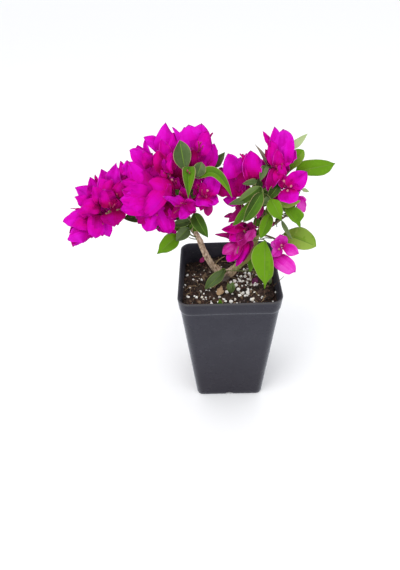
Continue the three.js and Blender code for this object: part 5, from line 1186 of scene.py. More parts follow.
def make_mix():
    half = pot_width(MIX_LEVEL) / 2 - POT["wall"] - 0.12
    r = pot_corner(MIX_LEVEL) - POT["wall"]
    n = 170
    g = np.linspace(-1, 1, n + 1)
    X, Y = np.meshgrid(g, g, indexing="ij")
    # the square grid is drawn in to the rounded square
    h = half - r
    ax, ay = np.abs(X) * half, np.abs(Y) * half
    over = (ax > h) & (ay > h)
    d = np.maximum(ax - h, ay - h)
    ang = np.hypot(ax - h, ay - h)
    k = np.where(over & (ang > 0), d / np.maximum(ang, 1e-9), 1)
    px = np.where(over, h + (ax - h) * k, ax) * np.sign(X)
    py = np.where(over, h + (ay - h) * k, ay) * np.sign(Y)
    Z = mix_height(px, py)
    soup = Soup()
    v = np.stack([px, py, Z], -1).reshape(-1, 3)
    i, j = np.meshgrid(np.arange(n), np.arange(n), indexing="ij")
    a = (i * (n + 1) + j).ravel()
    quads = np.stack([a, a + n + 1, a + n + 2, a + 1], 1)
    rim = [i * (n + 1) for i in range(n + 1)] + [n * (n + 1) + j for j in range(1, n + 1)] + [i * (n + 1) + n for i in range(n - 1, -1, -1)] + [j for j in range(n - 1, 0, -1)]
    rim = np.array(rim)
    low = v[rim].copy()
    low[:, 2] = 138
    nxt = np.roll(np.arange(len(rim)), -1)
    base = len(v)
    skirt = np.stack([rim, base + np.arange(len(rim)), base + nxt, rim[nxt]], 1)
    bottom = np.stack([np.full(len(rim), base + len(rim)), base + nxt, base + np.arange(len(rim))], 1)
    allv = np.concatenate([v, low, [[0, 0, 138]]])
    soup.add(allv, np.concatenate([quads, skirt]), 0, True, bottom, 0)
    ob = soup.object("potting_mix_top", [MATERIAL["mix"]])
    # the winding of the lattice is checked once, so that its faces point up
    me = ob.data
    if me.polygons[0].normal.z < 0:
        me.flip_normals()
    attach(ob, "root")
    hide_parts("potting_mix")

    rng = np.random.default_rng(41)
    inside = half - 1.5

    def in_pot(x, y, m=0.0):
        ax, ay = abs(x), abs(y)
        if max(ax, ay) > inside - m:
            return False
        hx, hy = ax - (h - m), ay - (h - m)
        return not (hx > 0 and hy > 0 and math.hypot(hx, hy) > r - 1.0)

    # perlite: thick on the right in front of the stems, thin elsewhere
    white = Soup()
    count = 0
    drifts = [(12, -4, 12, 12, 30), (20, 12, 10, 8, 16), (4, -33, 20, 6, 8), (-24, -28, 14, 8, 8), (-33, 6, 9, 14, 12), (0, 0, 40, 34, 52)]
    for cx, cy, sx, sy, many in drifts:
        for _ in range(many):
            x, y = cx + sx * rng.normal() * 0.62, cy + sy * rng.normal() * 0.62
            if not in_pot(x, y, 1.0) or math.hypot(x - FOOT[0], y - FOOT[1]) < 7:
                continue
            size = float(np.clip(rng.lognormal(-0.12, 0.42), 0.45, 2.1))
            z = float(mix_height(x, y)) + size * rng.uniform(0.05, 0.6)
            blob(white, (x, y, z), size * rng.uniform(0.75, 1.15, 3), rng, m=int(rng.choice([0, 0, 0, 1, 2])), detail=2 if size > 1.1 else 1, rough=0.3)
            count += 1
    for x, y, size in GRAINS:
        blob(white, (x, y, float(mix_height(x, y)) + size * 0.55), size * rng.uniform(0.8, 1.15, 3), rng, m=0, detail=2, rough=0.32)
    ob = white.object("perlite", [MATERIAL["perlite"], MATERIAL["perlite_warm"], MATERIAL["perlite_grey"]])
    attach(ob, "root")

    # bark chips, peat crumbs and fibres
    chips = Soup()
    for _ in range(820):
        x, y = rng.uniform(-inside, inside, 2)
        if not in_pot(x, y, 0.8):
            continue
        s = float(np.clip(rng.lognormal(0.15, 0.5), 0.5, 3.6))
        z = float(mix_height(x, y)) + rng.uniform(-0.3, 0.35) * s
        blob(chips, (x, y, z), (s * rng.uniform(0.9, 1.7), s * rng.uniform(0.5, 0.9), s * rng.uniform(0.3, 0.6)), rng, m=int(rng.choice([0, 0, 0, 1, 1, 2, 3])), detail=1, rough=0.38)
    for _ in range(210):
        x, y = rng.uniform(-inside + 3, inside - 3, 2)
        if not in_pot(x, y, 3.0):
            continue
        a = rng.uniform(0, 2 * math.pi)
        length = rng.uniform(4, 13)
        pts = []
        for k in range(5):
            f = k / 4 - 0.5
            xx, yy = x + math.cos(a) * length * f, y + math.sin(a) * length * f
            a += rng.normal() * 0.25
            if not in_pot(xx, yy, 0.5):
                continue
            pts.append((xx, yy, float(mix_height(xx, yy)) + 0.5 + rng.uniform(0, 1.3) * (1 - 2 * abs(f))))
        if len(pts) > 2:
            tube(chips, smooth_path(pts, 9), np.linspace(1, 0.5, 9) * rng.uniform(0.16, 0.42), 5, int(rng.choice([1, 2, 3, 4])))
    # pale straw lying behind the stump, as a fan of split stalks
    for p0, p1, r0 in STRAWS:
        a, b = np.array(p0, float), np.array(p1, float)
        mid = (a + b) / 2 + (0, 0, 1.6)
        tube(chips, smooth_path([a, mid, b], 10), np.linspace(r0, r0 * 0.55, 10), 6, 4, squash=0.5)
    a, b, c = (np.array(p, float) for p in LEANING_STRAW)
    tube(chips, smooth_path([a, b, c], 24), np.linspace(0.5, 0.28, 24), 6, 3)
    ob = chips.object("bark_chips", [MATERIAL["chip_dark"], MATERIAL["chip_brown"], MATERIAL["chip_red"], MATERIAL["chip_tan"], MATERIAL["chip_straw"]])
    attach(ob, "root")

    # fallen and dried things on the mix
    fallen = Soup()
    for foot, tip, hw, tone, kind in FALLEN:
        rg = np.random.default_rng(int(abs(foot[0] * 13 + foot[1] * 7)) + 3)
        v, q, s, t, face, _ = sheet("bract", foot, tip, hw, (0.1, -0.2, 1), rg, bow=0.16, cup=0.45, wave=0.25, crinkle=0.06, steps=14, curl=0.2, creases=0.30, pleat=0.25)
        fallen.add(v, q, tone, face != 2)
    ob = fallen.object("fallen_bits", [MATERIAL["dry_purple"], MATERIAL["dry_pink"], MATERIAL["dry_brown"]])
    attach(ob, "root")


STRAWS = [
    ((-13, 27, 156.4), (-2, 40, 156.0), 1.1),
    ((-14, 24, 156.8), (-8, 16, 157.8), 1.8),
    ((-17, 30, 155.4), (-24, 42, 153.6), 0.7),
    ((0, 36, 155.2), (12, 41, 156.6), 0.8),
    ((-6, 31, 155.6), (6, 27, 156.2), 0.7),
    ((12, 21, 156.6), (19, 28, 157.0), 1.2),
]
GRAINS = [  # large perlite grains: place and radius
    (10.3, -15.7, 1.69),
    (14.7, -22.5, 1.78),
    (10.7, -26.2, 1.77),
    (19.4, -21.4, 1.57),
    (23.4, -16.9, 1.58),
    (20.6, -15.0, 1.38),
    (16.3, -26.9, 1.35),
    (18.5, -27.0, 1.14),
    (1.6, -35.6, 1.74),
    (-2.9, -20.2, 1.89),
    (-3.7, -33.2, 1.33),
    (8.5, -8.7, 1.39),
    (20.2, -4.4, 1.51),
    (15.9, -2.6, 1.51),
    (19.3, 12.7, 1.22),
    (23.8, 9.8, 1.43),
    (14.8, 5.4, 1.32),
    (22.4, 1.9, 1.63),
    (21.6, -33.7, 1.64),
    (24.7, -36.1, 0.92),
    (33.5, -29.7, 1.13),
    (30.3, -27.1, 0.93),
    (48.6, -21.7, 0.83),
    (4.5, -16.1, 1.16),
    (1.6, -9.5, 1.07),
    (6.4, 0.2, 1.20),
    (13.8, 13.6, 1.11),
    (18.7, -9.4, 0.96),
    (10.5, -3.6, 1.08),
    (14.7, -10.1, 1.07),
    (15.0, -36.4, 1.02),
    (7.3, -37.9, 1.02),
    (26.6, -21.7, 1.05),
    (18.0, 17.9, 0.89),
    (10.7, 7.7, 0.99),
    (-45.1, 10.6, 1.44),
    (-28.5, 3.0, 1.31),
    (-24.5, 8.8, 0.88),
    (-49.0, -7.3, 0.86),
    (-34.1, -28.3, 1.35),
    (-35.9, -24.7, 0.94),
    (-24.5, -27.3, 1.04),
    (-27.1, -30.0, 1.03),
    (-38.6, -36.1, 0.92),
    (-20.4, -16.6, 0.85),
    (-41.2, -10.9, 0.75),
    (-19.1, -34.3, 0.82),
    (-11.9, -35.4, 0.92),
]
LEANING_STRAW = [(47.7, -11.8, 154), (51.3, -21.1, 169.4), (53.8, -27.8, 180.5)]
FALLEN = [
    ((26, -8.5, 154.6), (32, -1.5, 155.6), 3.2, 0, "bract"),
    ((-30, 34, 152.6), (-26, 42, 153.4), 2.8, 1, "bract"),
    ((-11.6, -24.5, 154.6), (-7.4, -14.0, 157.2), 3.1, 2, "leaf"),
    ((-7.2, -23.0, 154.6), (-11.0, -16.5, 156.6), 2.6, 2, "leaf"),
    ((41.5, -6, 154.5), (44.5, 6, 157.5), 2.8, 2, "bract"),
]


# ------------------------------------------------------------------ the woody frame: stump, stems, boughs
NET = {"p": [], "r": [], "d": []}  # points that twigs may grow from, with the wood's radius and direction there


def make_limbs():
    groups = {"stump_and_stems": Soup(), "boughs": Soup()}
    nodes_in = {"stump_and_stems": [], "boughs": []}
    for k, (name, (pts, r0, r1, group, green)) in enumerate(LIMBS.items()):
        soup = groups[group]
        nodes_in[group].append(name)
        length = sum(np.linalg.norm(np.subtract(a, b)) for a, b in zip(pts[:-1], pts[1:]))
        n = max(24, int(length / 0.62))
        path = smooth_path(pts, n)
        rng = np.random.default_rng(100 + k)
        s = np.linspace(0, 1, n)
        radii = r0 + (r1 - r0) * s
        if name == "stump":
            radii = radii + 3.0 * (1 - s) ** 5
        knots = rng.uniform(0.06, 0.94, max(3, int(length / 13)))
        swell = sum(0.16 * np.exp(-(((s - c) * length / 1.7) ** 2)) for c in knots)
        ph = rng.uniform(0, 6.28, 8)

        def relief(u, a, swell=swell, ph=ph, length=length, r0=r0, name=name, knots=knots):
            ridges = 0.030 * np.sin(5 * a + 3 * np.sin(u * length / 9 + ph[0]) + ph[1]) + 0.022 * np.sin(9 * a - 2.4 * np.sin(u * length / 6 + ph[2]) + ph[3])
            rings = 0.020 * np.sin(u * length * 1.3 + 2 * np.sin(2 * a + ph[4]) + ph[5]) + 0.014 * np.sin(u * length * 2.9 + 3 * np.sin(a + ph[6]))
            knotty = swell[:, None] * (0.65 + 0.35 * np.cos(a - ph[7] - 40 * u))
            base = 1 + (ridges + rings) * (1.5 if r0 > 3 else 1.0) + knotty
            if name == "stump":
                base = base + 0.20 * np.cos(3 * a + ph[0]) * (1 - u) ** 3 + 0.07 * np.cos(7 * a + ph[2]) * (1 - u)
            return base

        sides = 30 if r0 > 2.5 else 16
        tube(soup, path, radii, sides, 0, relief)
        d = units(np.gradient(path, axis=0))
        for i in range(0, n, 3):
            if name != "stump" and (name.endswith("stem") is False or s[i] > 0.55):
                NET["p"].append(path[i])
                NET["r"].append(radii[i])
                NET["d"].append(d[i])
        if name not in ("stump",):
            # leaf scars: small raised cushions on alternate sides
            tan, u, v = frames(path)
            for c in knots[:: 1 if r0 < 2.5 else 2]:
                i = int(c * (n - 1))
                a = rng.uniform(0, 6.28)
                out = math.cos(a) * u[i] + math.sin(a) * v[i]
                blob(soup, path[i] + out * radii[i] * 0.95, np.array([0.55, 0.55, 0.4]) * (0.6 + radii[i] * 0.22), rng, 0, 1, 0.2)
    peel(groups["stump_and_stems"])
    for group, soup in groups.items():
        ob = soup.object(group, [MATERIAL["bark"], MATERIAL["peel"]] if group == "stump_and_stems" else [MATERIAL["young_bark"]])
        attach(ob, "root")
        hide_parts(*nodes_in[group])


def peel(soup):
    """Loose papery bark and old cut stubs round the foot."""
    rng = np.random.default_rng(77)
    for foot, tip, hw in PEELS:
        v, q, s, t, face, _ = sheet("bract", foot, tip, hw, (0.2, -0.6, 0.8), rng, bow=0.12, cup=0.9, wave=0.3, crinkle=0.05, steps=12, curl=0.1)
        soup.add(v, q, 1, face != 2)
    for at, to, r in STUBS:
        path = smooth_path([at, np.add(at, np.subtract(to, at) * 0.5), to], 9)
        tube(soup, path, np.linspace(r * 1.1, r * 0.85, 9), 14, 0, lambda u, a: 1 + 0.06 * np.sin(3 * a + 5 * u) + 0.05 * np.sin(7 * a))


PEELS = [
    ((-2.5, 3.5, 157.0), (6.5, 9.0, 164.5), 2.6),
    ((2.0, 2.0, 158.0), (11.0, 5.0, 166.5), 2.4),
    ((4.0, 7.0, 160.0), (15.0, 9.5, 167.5), 1.9),
    ((-9.0, 8.0, 157.0), (-13.0, 12.5, 164.5), 2.4),
]
STUBS = [((-6.0, 9.0, 158.0), (-11.0, 14.0, 163.5), 1.7), ((0.5, 9.5, 158.5), (5.0, 15.0, 161.5), 1.3)]


# ------------------------------------------------------------------ twigs: each new end grows from the nearest wood
class Wood:
    def __init__(self):
        self.p = np.array(NET["p"])
        self.r = np.array(NET["r"])
        self.d = np.array(NET["d"])
        self.soup = Soup()

    def grow(self, to, end_direction, rng, end=0.42, sag=0.0):
        to = np.asarray(to, float)
        gap = to - self.p
        dist = np.linalg.norm(gap, axis=1)
        ahead = (gap * self.d).sum(1) / np.maximum(dist, 1e-6)
        cost = dist * (1.25 - 0.35 * ahead) + 3.0 * (self.r < 0.55)
        k = int(np.argmin(cost))
        a, d0, length = self.p[k], self.d[k], dist[k]
        if length < 0.8:
            return
        start = min(self.r[k] * 0.85, 0.42 + 0.022 * length)
        start = max(start, end)
        e = unit(end_direction)
        c1 = a + (0.55 * d0 + 0.45 * unit(to - a)) * length * 0.36
        c2 = to - (0.6 * e + 0.4 * unit(to - a)) * length * 0.34
        n = int(np.clip(length / 2.2, 5, 22))
        t = np.linspace(0, 1, n)[:, None]
        path = (1 - t) ** 3 * a + 3 * t * (1 - t) ** 2 * c1 + 3 * t * t * (1 - t) * c2 + t**3 * to
        if n > 6:
            path[1:-1] += rng.normal(size=(n - 2, 3)) * 0.10
        radii = np.linspace(start, end, n)
        radii[0] *= 1.35
        brown = (radii > 0.78).astype(int)
        if end < 0.47:  # a bract's own stalk is flushed with its colour
            brown[(np.arange(n) > (0.3 if length > 14 else -1) * n) & (radii < 0.78)] = 2
        tube(self.soup, path, radii, 7 if start > 0.8 else 6, brown)
        d = units(np.gradient(path, axis=0))
        keep = slice(2, n - 1, 2)
        if length > 7:
            self.p = np.vstack([self.p, path[keep]])
            self.r = np.concatenate([self.r, radii[keep]])
            self.d = np.vstack([self.d, d[keep]])


# ------------------------------------------------------------------ flowers
def flower(soup, foot, mouth, kind, rng, scale=1.0):
    """The small true flower in the middle of its bracts: a swollen, ribbed tube, and on an open one a five-lobed cream star."""
    foot, mouth = np.asarray(foot, float), np.asarray(mouth, float)
    e = unit(mouth - foot)
    n = 9
    u = np.linspace(0, 1, n)
    bend = across(e, rng) * 0.06 * np.linalg.norm(mouth - foot)
    path = foot + u[:, None] * (mouth - foot) + np.outer(np.sin(np.pi * u), bend)
    shape = np.interp(u, [0, 0.25, 0.6, 0.8, 0.95, 1], [0.75, 1.1, 0.72, 0.8, 1.15, 0.9 if kind == "bud" else 1.25])
    tube_m = {"star": 0, "bud": 1, "dry": 3}[kind]
    tube(soup, path, 1.05 * scale * shape, 10, [tube_m] * (n - 2) + [2 if kind == "star" else tube_m] * 2, lambda a, b: 1 + 0.10 * np.cos(5 * b))
    if kind == "bud":
        blob(soup, mouth + e * 0.5 * scale, (1.25 * scale,) * 3, rng, 1, 1, 0.12)
    if kind == "star":
        a = across(e, rng)
        b = np.cross(e, a)
        m = 20
        ang = 2 * np.pi * np.arange(m) / m
        rad = 2.2 * scale * (0.58 + 0.42 * np.abs(np.cos(2.5 * ang)) ** 1.4)
        outer = mouth + e * 0.55 * scale + (rad * np.cos(ang))[:, None] * a + (rad * np.sin(ang))[:, None] * b + np.outer(0.35 * scale * np.cos(5 * ang), e)
        ring = mouth + e * 0.30 * scale + 0.75 * scale * (np.cos(ang)[:, None] * a + np.sin(ang)[:, None] * b)
        low = outer - e * 0.22 * scale
        v = np.concatenate([outer, ring, low, [mouth - e * 0.4 * scale], [mouth - e * 0.5 * scale]])
        j = np.arange(m)
        k = (j + 1) % m
        top = np.stack([j, k, m + k, m + j], 1)
        side = np.stack([2 * m + j, 2 * m + k, k, j], 1)
        throat = np.stack([m + j, m + k, np.full(m, 3 * m)], 1)
        back = np.stack([2 * m + k, 2 * m + j, np.full(m, 3 * m + 1)], 1)
        soup.add(v, np.concatenate([top, side]), 2, True, np.concatenate([throat, back]), np.concatenate([np.full(m, 4), np.full(m, 2)]))


# ------------------------------------------------------------------ growth
REGION_OF = lambda x: "far" if x < -93 else "left" if x < -7 else "right"
BRACTS = {k: Soup() for k in ("far", "left", "right")}
LEAFS = {k: Soup() for k in ("far", "left", "right")}
FLOWERS_SOUP = Soup()


VIEWER = np.array([-16.0, -340.4, 444.6])


class Crown:
    """The room that the growth keeps to: the masses' lobes, less the open ways through them."""

    def __init__(self):
        lobes = [l for _, ls in MASSES.values() for l in ls]
        self.c = np.array([l[:3] for l in lobes], float)
        self.r = np.array([l[3:6] for l in lobes], float)
        turn = np.radians([l[6] if len(l) > 6 else 0.0 for l in lobes])
        self.cos, self.sin = np.cos(turn), np.sin(turn)
        gaps = placed(GAPS, 0)
        self.gap_at = np.array([g[0] for g in gaps], float)
        self.gap_way = units(np.array([g[1] for g in gaps], float))
        self.gap_r = np.array([g[2] for g in gaps], float)

    def show(self, points):
        """Points on the named blades, which nothing that grows later may hide from the side that they face."""
        q = np.asarray(points, float) - VIEWER
        self.seen_far = np.linalg.norm(q, axis=1)
        self.seen_way = q / self.seen_far[:, None]

    def hides(self, p, near=3.0):
        q = np.atleast_2d(p) - VIEWER
        far = np.linalg.norm(q, axis=1)
        way = q / far[:, None]
        cosine = way @ self.seen_way.T
        away = far[:, None] * np.sqrt(np.clip(1 - cosine**2, 0, 1))
        return bool(((away < near) & (self.seen_far[None] > far[:, None] + 0.4)).any())

    def depth(self, p):
        """How far out a point is: under 1 it is inside some lobe."""
        q = np.atleast_2d(p)[:, None, :] - self.c[None]
        x = q[..., 0] * self.cos - q[..., 2] * self.sin
        z = q[..., 0] * self.sin + q[..., 2] * self.cos
        return np.sqrt((x / self.r[:, 0]) ** 2 + (q[..., 1] / self.r[:, 1]) ** 2 + (z / self.r[:, 2]) ** 2).min(1)

    def in_gap(self, p, margin=0.0):
        q = np.atleast_2d(p)[:, None, :] - self.gap_at[None]
        along = (q * self.gap_way[None]).sum(-1)
        away = np.linalg.norm(q - along[..., None] * self.gap_way[None], axis=-1)
        return bool((away < self.gap_r[None] + margin).any())

    def fit(self, foot, tip, half, facing, limit):
        """A blade's tip drawn in until the blade has room, or None."""
        foot, tip = np.asarray(foot, float), np.asarray(tip, float)
        for _ in range(6):
            e = tip - foot
            side = unit(np.cross(facing, e)) * half * np.linalg.norm(e) * 0.8
            edge = [tip, foot + 0.8 * e, foot + 0.45 * e + side, foot + 0.45 * e - side]
            if self.depth(np.array(edge)).max() <= limit and not self.in_gap(np.array(edge + [foot, foot + 0.5 * e]), 0.4) and not self.hides(np.array(edge + [foot + 0.5 * e])):
                return tip
            tip = foot + e * 0.85
        return None


def any_form(rng):
    r = rng.uniform(-0.8, 0.7)
    return (r, r + rng.uniform(-0.3, 0.3), rng.uniform(0.85, 1.1), rng.uniform(0.85, 1.1))


def bloom(at, axis, rng, size=24.0, tone=2.0, opening=0.8, flowers=0.7, limit=1.0, family="bright"):
    """Three bracts round a stalk's end, each with a flower on its midrib, facing along axis."""
    region = REGION_OF(at[0])
    axis = unit(axis)
    a = across(axis, rng)
    b = np.cross(axis, a)
    turn = rng.uniform(0, 2 * math.pi)
    made = 0
    for k in range(3):
        ang = turn + k * 2.094 + rng.normal() * 0.14
        out = math.cos(ang) * a + math.sin(ang) * b
        o = opening + rng.normal() * 0.13
        d = math.cos(o) * axis + math.sin(o) * out
        length = size * rng.uniform(0.88, 1.1)
        foot = at + out * 0.9
        facing = unit(axis * math.sin(o) - out * math.cos(o))
        wide = rng.uniform(0.36, 0.44)
        how = dict(
            tone=tone + rng.normal() * 0.45, fine=False, steps=10, bow=rng.uniform(-0.10, 0.02), cup=rng.uniform(0.1, 0.4),
            curl=rng.uniform(-0.2, 0.08), twist=rng.normal() * 0.2, wave=rng.uniform(0.06, 0.16), waves=rng.uniform(1.4, 2.6),
            crinkle=rng.uniform(0.012, 0.028), form=any_form(rng), family=family,
        )
        tip = CROWN.fit(foot, foot + d * length, wide, facing, limit)
        if tip is None:
            continue
        length = float(np.linalg.norm(tip - foot))
        if length < 6.5:
            continue
        bract(BRACTS[region], foot, tip, length * wide, facing, rng, **how)
        made += 1
        if rng.uniform() < flowers:
            mouth = at + out * (2.0 + 1.0 * math.sin(o)) + axis * rng.uniform(5.0, 8.0)
            if not CROWN.in_gap(mouth, 1.0) and not CROWN.hides(np.array([mouth, at])):
                flower(FLOWERS_SOUP, at + out * 1.0 + axis * 0.6, mouth, "star" if rng.uniform() < 0.16 else "bud", rng, 0.62)
    return made


def spray(at, axis, rng, many=4, size=26.0, tone=2.5, limit=1.0):
    """A shoot tip with alternate leaves that turn their upper sides to the light."""
    region = REGION_OF(at[0])
    axis = unit(axis)
    a = across(axis, rng)
    b = np.cross(axis, a)
    turn = rng.uniform(0, 2 * math.pi)
    feet = []
    for k in range(many):
        ang = turn + 2.4 * k
        out = math.cos(ang) * a + math.sin(ang) * b
        d = unit(axis * rng.uniform(0.35, 0.9) + out * 0.95 + np.array([0, 0, rng.uniform(-0.35, 0.15)]))
        length = size * rng.uniform(0.7, 1.12) * (1 - 0.08 * k)
        foot = at + axis * (k * 1.4 - 2) + out * 2.2
        facing = unit(UP * 0.9 + axis * 0.5 + rng.normal(size=3) * 0.2)
        wide = rng.uniform(0.27, 0.33)
        how = dict(
            tone=tone + rng.normal() * 0.6, fine=False, steps=12, fold=rng.uniform(0.08, 0.4), bow=rng.uniform(0.02, 0.14),
            curl=rng.uniform(-0.2, 0.02), twist=rng.normal() * 0.2, thick=0.3, form=any_form(rng),
        )
        tip = CROWN.fit(foot, foot + d * length, wide, facing, limit)
        if tip is None:
            continue
        length = float(np.linalg.norm(tip - foot))
        if length < 8:
            continue
        leaf(LEAFS[region], foot, tip, length * wide, facing, rng, **how)
        feet.append((foot, d))
    return feet


NAMED_MASSES = {
    "far_left_tip", "far_left_top", "far_left_under", "left_outer", "left_crest", "left_inner_crest", "left_core", "left_low", "left_front",
    "left_inner_leaves", "left_low_leaves", "middle_bracts", "middle_small", "right_crest", "right_wing", "right_wing_upright", "right_flower",
    "right_core", "right_leaves", "right_side", "low_bracts", "right_low", "drooping_leaves", "right_heart",
}
FRONT = unit([0.02, -0.74, 0.67])  # the side on which the named bracts and leaves stand


def lobe_points(lobe, spacing, rng):
    """Jittered, even points on a lobe: where they are, the way out, and how far the surface is from the middle."""
    x, y, z, rx, ry, rz = lobe[:6]
    turn = math.radians(lobe[6]) if len(lobe) > 6 else 0.0
    p = 1.6
    area = 4 * math.pi * (((rx * ry) ** p + (rx * rz) ** p + (ry * rz) ** p) / 3) ** (1 / p)
    n = max(5, int(area / spacing**2))
    k = np.arange(n) + 0.5
    phi = np.arccos(1 - 2 * k / n)
    th = np.pi * (1 + 5**0.5) * k + rng.uniform(0, 6.28)
    d = np.stack([np.cos(th) * np.sin(phi), np.sin(th) * np.sin(phi), np.cos(phi)], 1)
    d = units(d + rng.normal(size=d.shape) * 0.16)
    c, s = math.cos(turn), math.sin(turn)
    R = np.array([[c, 0, s], [0, 1, 0], [-s, 0, c]])
    radii = np.array([rx, ry, rz])
    return np.array([x, y, z]), (d * radii) @ R.T, units((d / radii) @ R.T)


def depth_in(lobe, p):
    x, y, z, rx, ry, rz = lobe[:6]
    turn = math.radians(lobe[6]) if len(lobe) > 6 else 0.0
    c, s = math.cos(turn), math.sin(turn)
    R = np.array([[c, 0, s], [0, 1, 0], [-s, 0, c]])
    q = (np.asarray(p) - (x, y, z)) @ R
    return float(np.linalg.norm(q / np.array([rx, ry, rz])))


def grow():
    global CROWN
    CROWN = Crown()
    wood = Wood()
    ends = []  # where a stalk has to reach, which way it ends, its end radius

    # the named bracts and leaves
    named_bracts, named_leaves = placed(NAMED_BRACTS, 2, 3), placed(NAMED_LEAVES, 2, 3, 9)
    marks = []
    for row in named_bracts + named_leaves:
        foot, tip, side = np.array(row[2], float), np.array(row[3], float), unit(np.cross(row[5], np.subtract(row[3], row[2])))
        for u, w in ((0.12, 0.5), (0.3, 0.8), (0.5, 0.85), (0.7, 0.65), (0.9, 0.2)):
            marks += [foot + u * (tip - foot) + side * row[4] * w * k for k in (-1, 0, 1)]
    CROWN.show(marks)
    for name, tone, foot, tip, half, facing, bow, cup, form in named_bracts:
        rng = np.random.default_rng([1, *name.encode()])
        foot, tip = np.array(foot, float), np.array(tip, float)
        bract(
            BRACTS[REGION_OF(foot[0])], foot, tip, half, facing, rng, tone=tone, fine=True, steps=18, bow=bow, cup=cup, **{"bloom_shade": 1.35, **({"family": "shade"} if name in SHADED or name.startswith("bk") else {}), **PAINT.get(name, {})},
            curl=rng.uniform(-0.10, 0.06), twist=rng.normal() * 0.12, form=form, wave=rng.uniform(0.10, 0.22), waves=rng.uniform(1.5, 2.8), crinkle=rng.uniform(0.020, 0.036),
        )
        ends.append((foot, tip - foot, 0.34))
    for row in named_leaves:
        name, tone, foot, tip, half, facing, bow, fold, form = row[:9]
        rng = np.random.default_rng([2, *name.encode()])
        foot, tip = np.array(foot, float), np.array(tip, float)
        leaf(
            LEAFS[REGION_OF(foot[0])], foot, tip, half, facing, rng, pink=name in PINK_EDGED, fine=True, steps=24, bow=bow, fold=math.radians(fold),
            curl=rng.uniform(-0.08, 0.02), twist=rng.normal() * 0.08, lean=row[9] if len(row) > 9 else None, thick=0.34, form=form, **{"tone": tone, **LEAF_PAINT.get(name, {})},
        )
        if name not in ("P2", "P2b", "P3"):
            ends.append((foot, tip - foot, 0.5))
    for i, (foot, mouth, kind) in enumerate(placed(NAMED_FLOWERS, 0, 1)):
        flower(FLOWERS_SOUP, foot, mouth, kind, np.random.default_rng(3000 + i), 0.52)
    for i, (p0, p1, r0, r1) in enumerate(placed(NAMED_TWIGS, 0, 1)):
        a, b = np.array(p0, float), np.array(p1, float)
        rng = np.random.default_rng(4000 + i)
        path = smooth_path([a, (a + b) / 2 + rng.normal(size=3) * 0.8, b], 14)
        tube(wood.soup, path, np.linspace(r0, r1, 14), 8, 0)

    # the rest of each mass, by the seeded rule
    lobes = [(name, tint, lobe) for name, (tint, ls) in MASSES.items() for lobe in ls]
    for k, (name, tint, lobe) in enumerate(lobes):
        rng = np.random.default_rng(500 + k)
        named = name in NAMED_MASSES
        centre, outs, normals = lobe_points(lobe, 14.0 if tint == "bract" else 14.5, rng)
        for out, n in zip(outs, normals):
            reach = np.linalg.norm(out)
            front = float(n @ FRONT)
            if any(depth_in(l2, centre + out) < 0.62 for _, _, l2 in lobes if l2 is not lobe):
                continue
            inner = named and front > 0.30  # the named blades stand in front of these
            limit = (0.80 if inner else 0.90 if named else 0.99) - (0.2 if name in SPARE else 0.0)
            seat = centre + out * (rng.uniform(0.10, 0.28) if inner else rng.uniform(0.30, 0.5))
            axis = unit(n + np.array([0, 0, 0.22]) + rng.normal(size=3) * 0.22)
            size = min(26.0, (reach * limit - np.linalg.norm(seat - centre)) * 1.15 + 3)
            if tint == "bract" and rng.uniform() > (0.0 if inner else 0.10 + 0.16 * (n[2] < -0.3)):
                # painted shade: blooms deep in a named mass take darker tones and the shade family
                tone = (3.4 if inner else 2.4) + (1.0 if name == "low_bracts" else 0.0)
                if bloom(seat, axis, rng, size=max(11.0, size), tone=tone, family=FAMILY_OF.get(name, "shade" if inner else "bright"), opening=rng.uniform(0.45, 0.95), flowers=0.35 if inner else 0.6, limit=limit):
                    ends.append((seat, axis, 0.45))
            else:
                # painted shade: leaves deep in a named mass take a darker tone
                feet = spray(seat, axis, rng, many=4 if tint == "leaf" else 3, size=max(13.0, min(28.0, size * 1.15)), tone=3.3 if inner else 2.4, limit=limit)
                if feet:
                    ends.append((seat, axis, 0.5))
                for f, d in feet:
                    tube(wood.soup, np.stack([seat - axis * 1.0, (seat + f) / 2 + axis * 0.4, f]), [0.5, 0.42, 0.38], 5, 0)
    ends.sort(key=lambda e: float(np.min(np.linalg.norm(wood.p - e[0], axis=1))))
    rng = np.random.default_rng(9)
    for at, way, r in ends:
        wood.grow(at, way, rng, end=r)

    bract_nodes = {k: [] for k in BRACTS}
    leaf_nodes = {k: [] for k in LEAFS}
    for name, (tint, ls) in MASSES.items():
        (bract_nodes if tint == "bract" else leaf_nodes)[REGION_OF(ls[0][0])].append(name)
    tones = [MATERIAL[f"bract_{i}"] for i in range(PALE_EDGE)] + [MATERIAL["bract_edge"], MATERIAL["bract_point"]]
    greens = [MATERIAL[f"leaf_{i}"] for i in range(len(LEAF_STEPS))] + [MATERIAL[f"leaf_grey_{i}"] for i in range(len(GREY_STEPS))] + [MATERIAL["leaf_under"], MATERIAL["leaf_margin"], MATERIAL["leaf_midrib"], MATERIAL["leaf_margin_pink"], MATERIAL["leaf_pale"], MATERIAL["leaf_dry"], MATERIAL["leaf_olive"]]
    for k, soup in BRACTS.items():
        ob = soup.object(f"bracts_{k}", tones)
        print("bracts", k, soup.triangles())
        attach(ob, "root")
        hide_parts(*bract_nodes[k])
    for k, soup in LEAFS.items():
        if not soup.n:
            continue
        ob = soup.object(f"leaves_{k}", greens)
        print("leaves", k, soup.triangles())
        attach(ob, "root")
        if leaf_nodes[k]:
            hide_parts(*leaf_nodes[k])
    ob = FLOWERS_SOUP.object("flowers", [MATERIAL[k] for k in ("tube", "bud", "star", "dry_tube", "throat")])
    print("flowers", FLOWERS_SOUP.triangles())
    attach(ob, "root")
    ob = wood.soup.object("twigs", [MATERIAL["twig_green"], MATERIAL["twig_brown"], MATERIAL["stalk"]])
    print("twigs", wood.soup.triangles())
    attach(ob, "root")


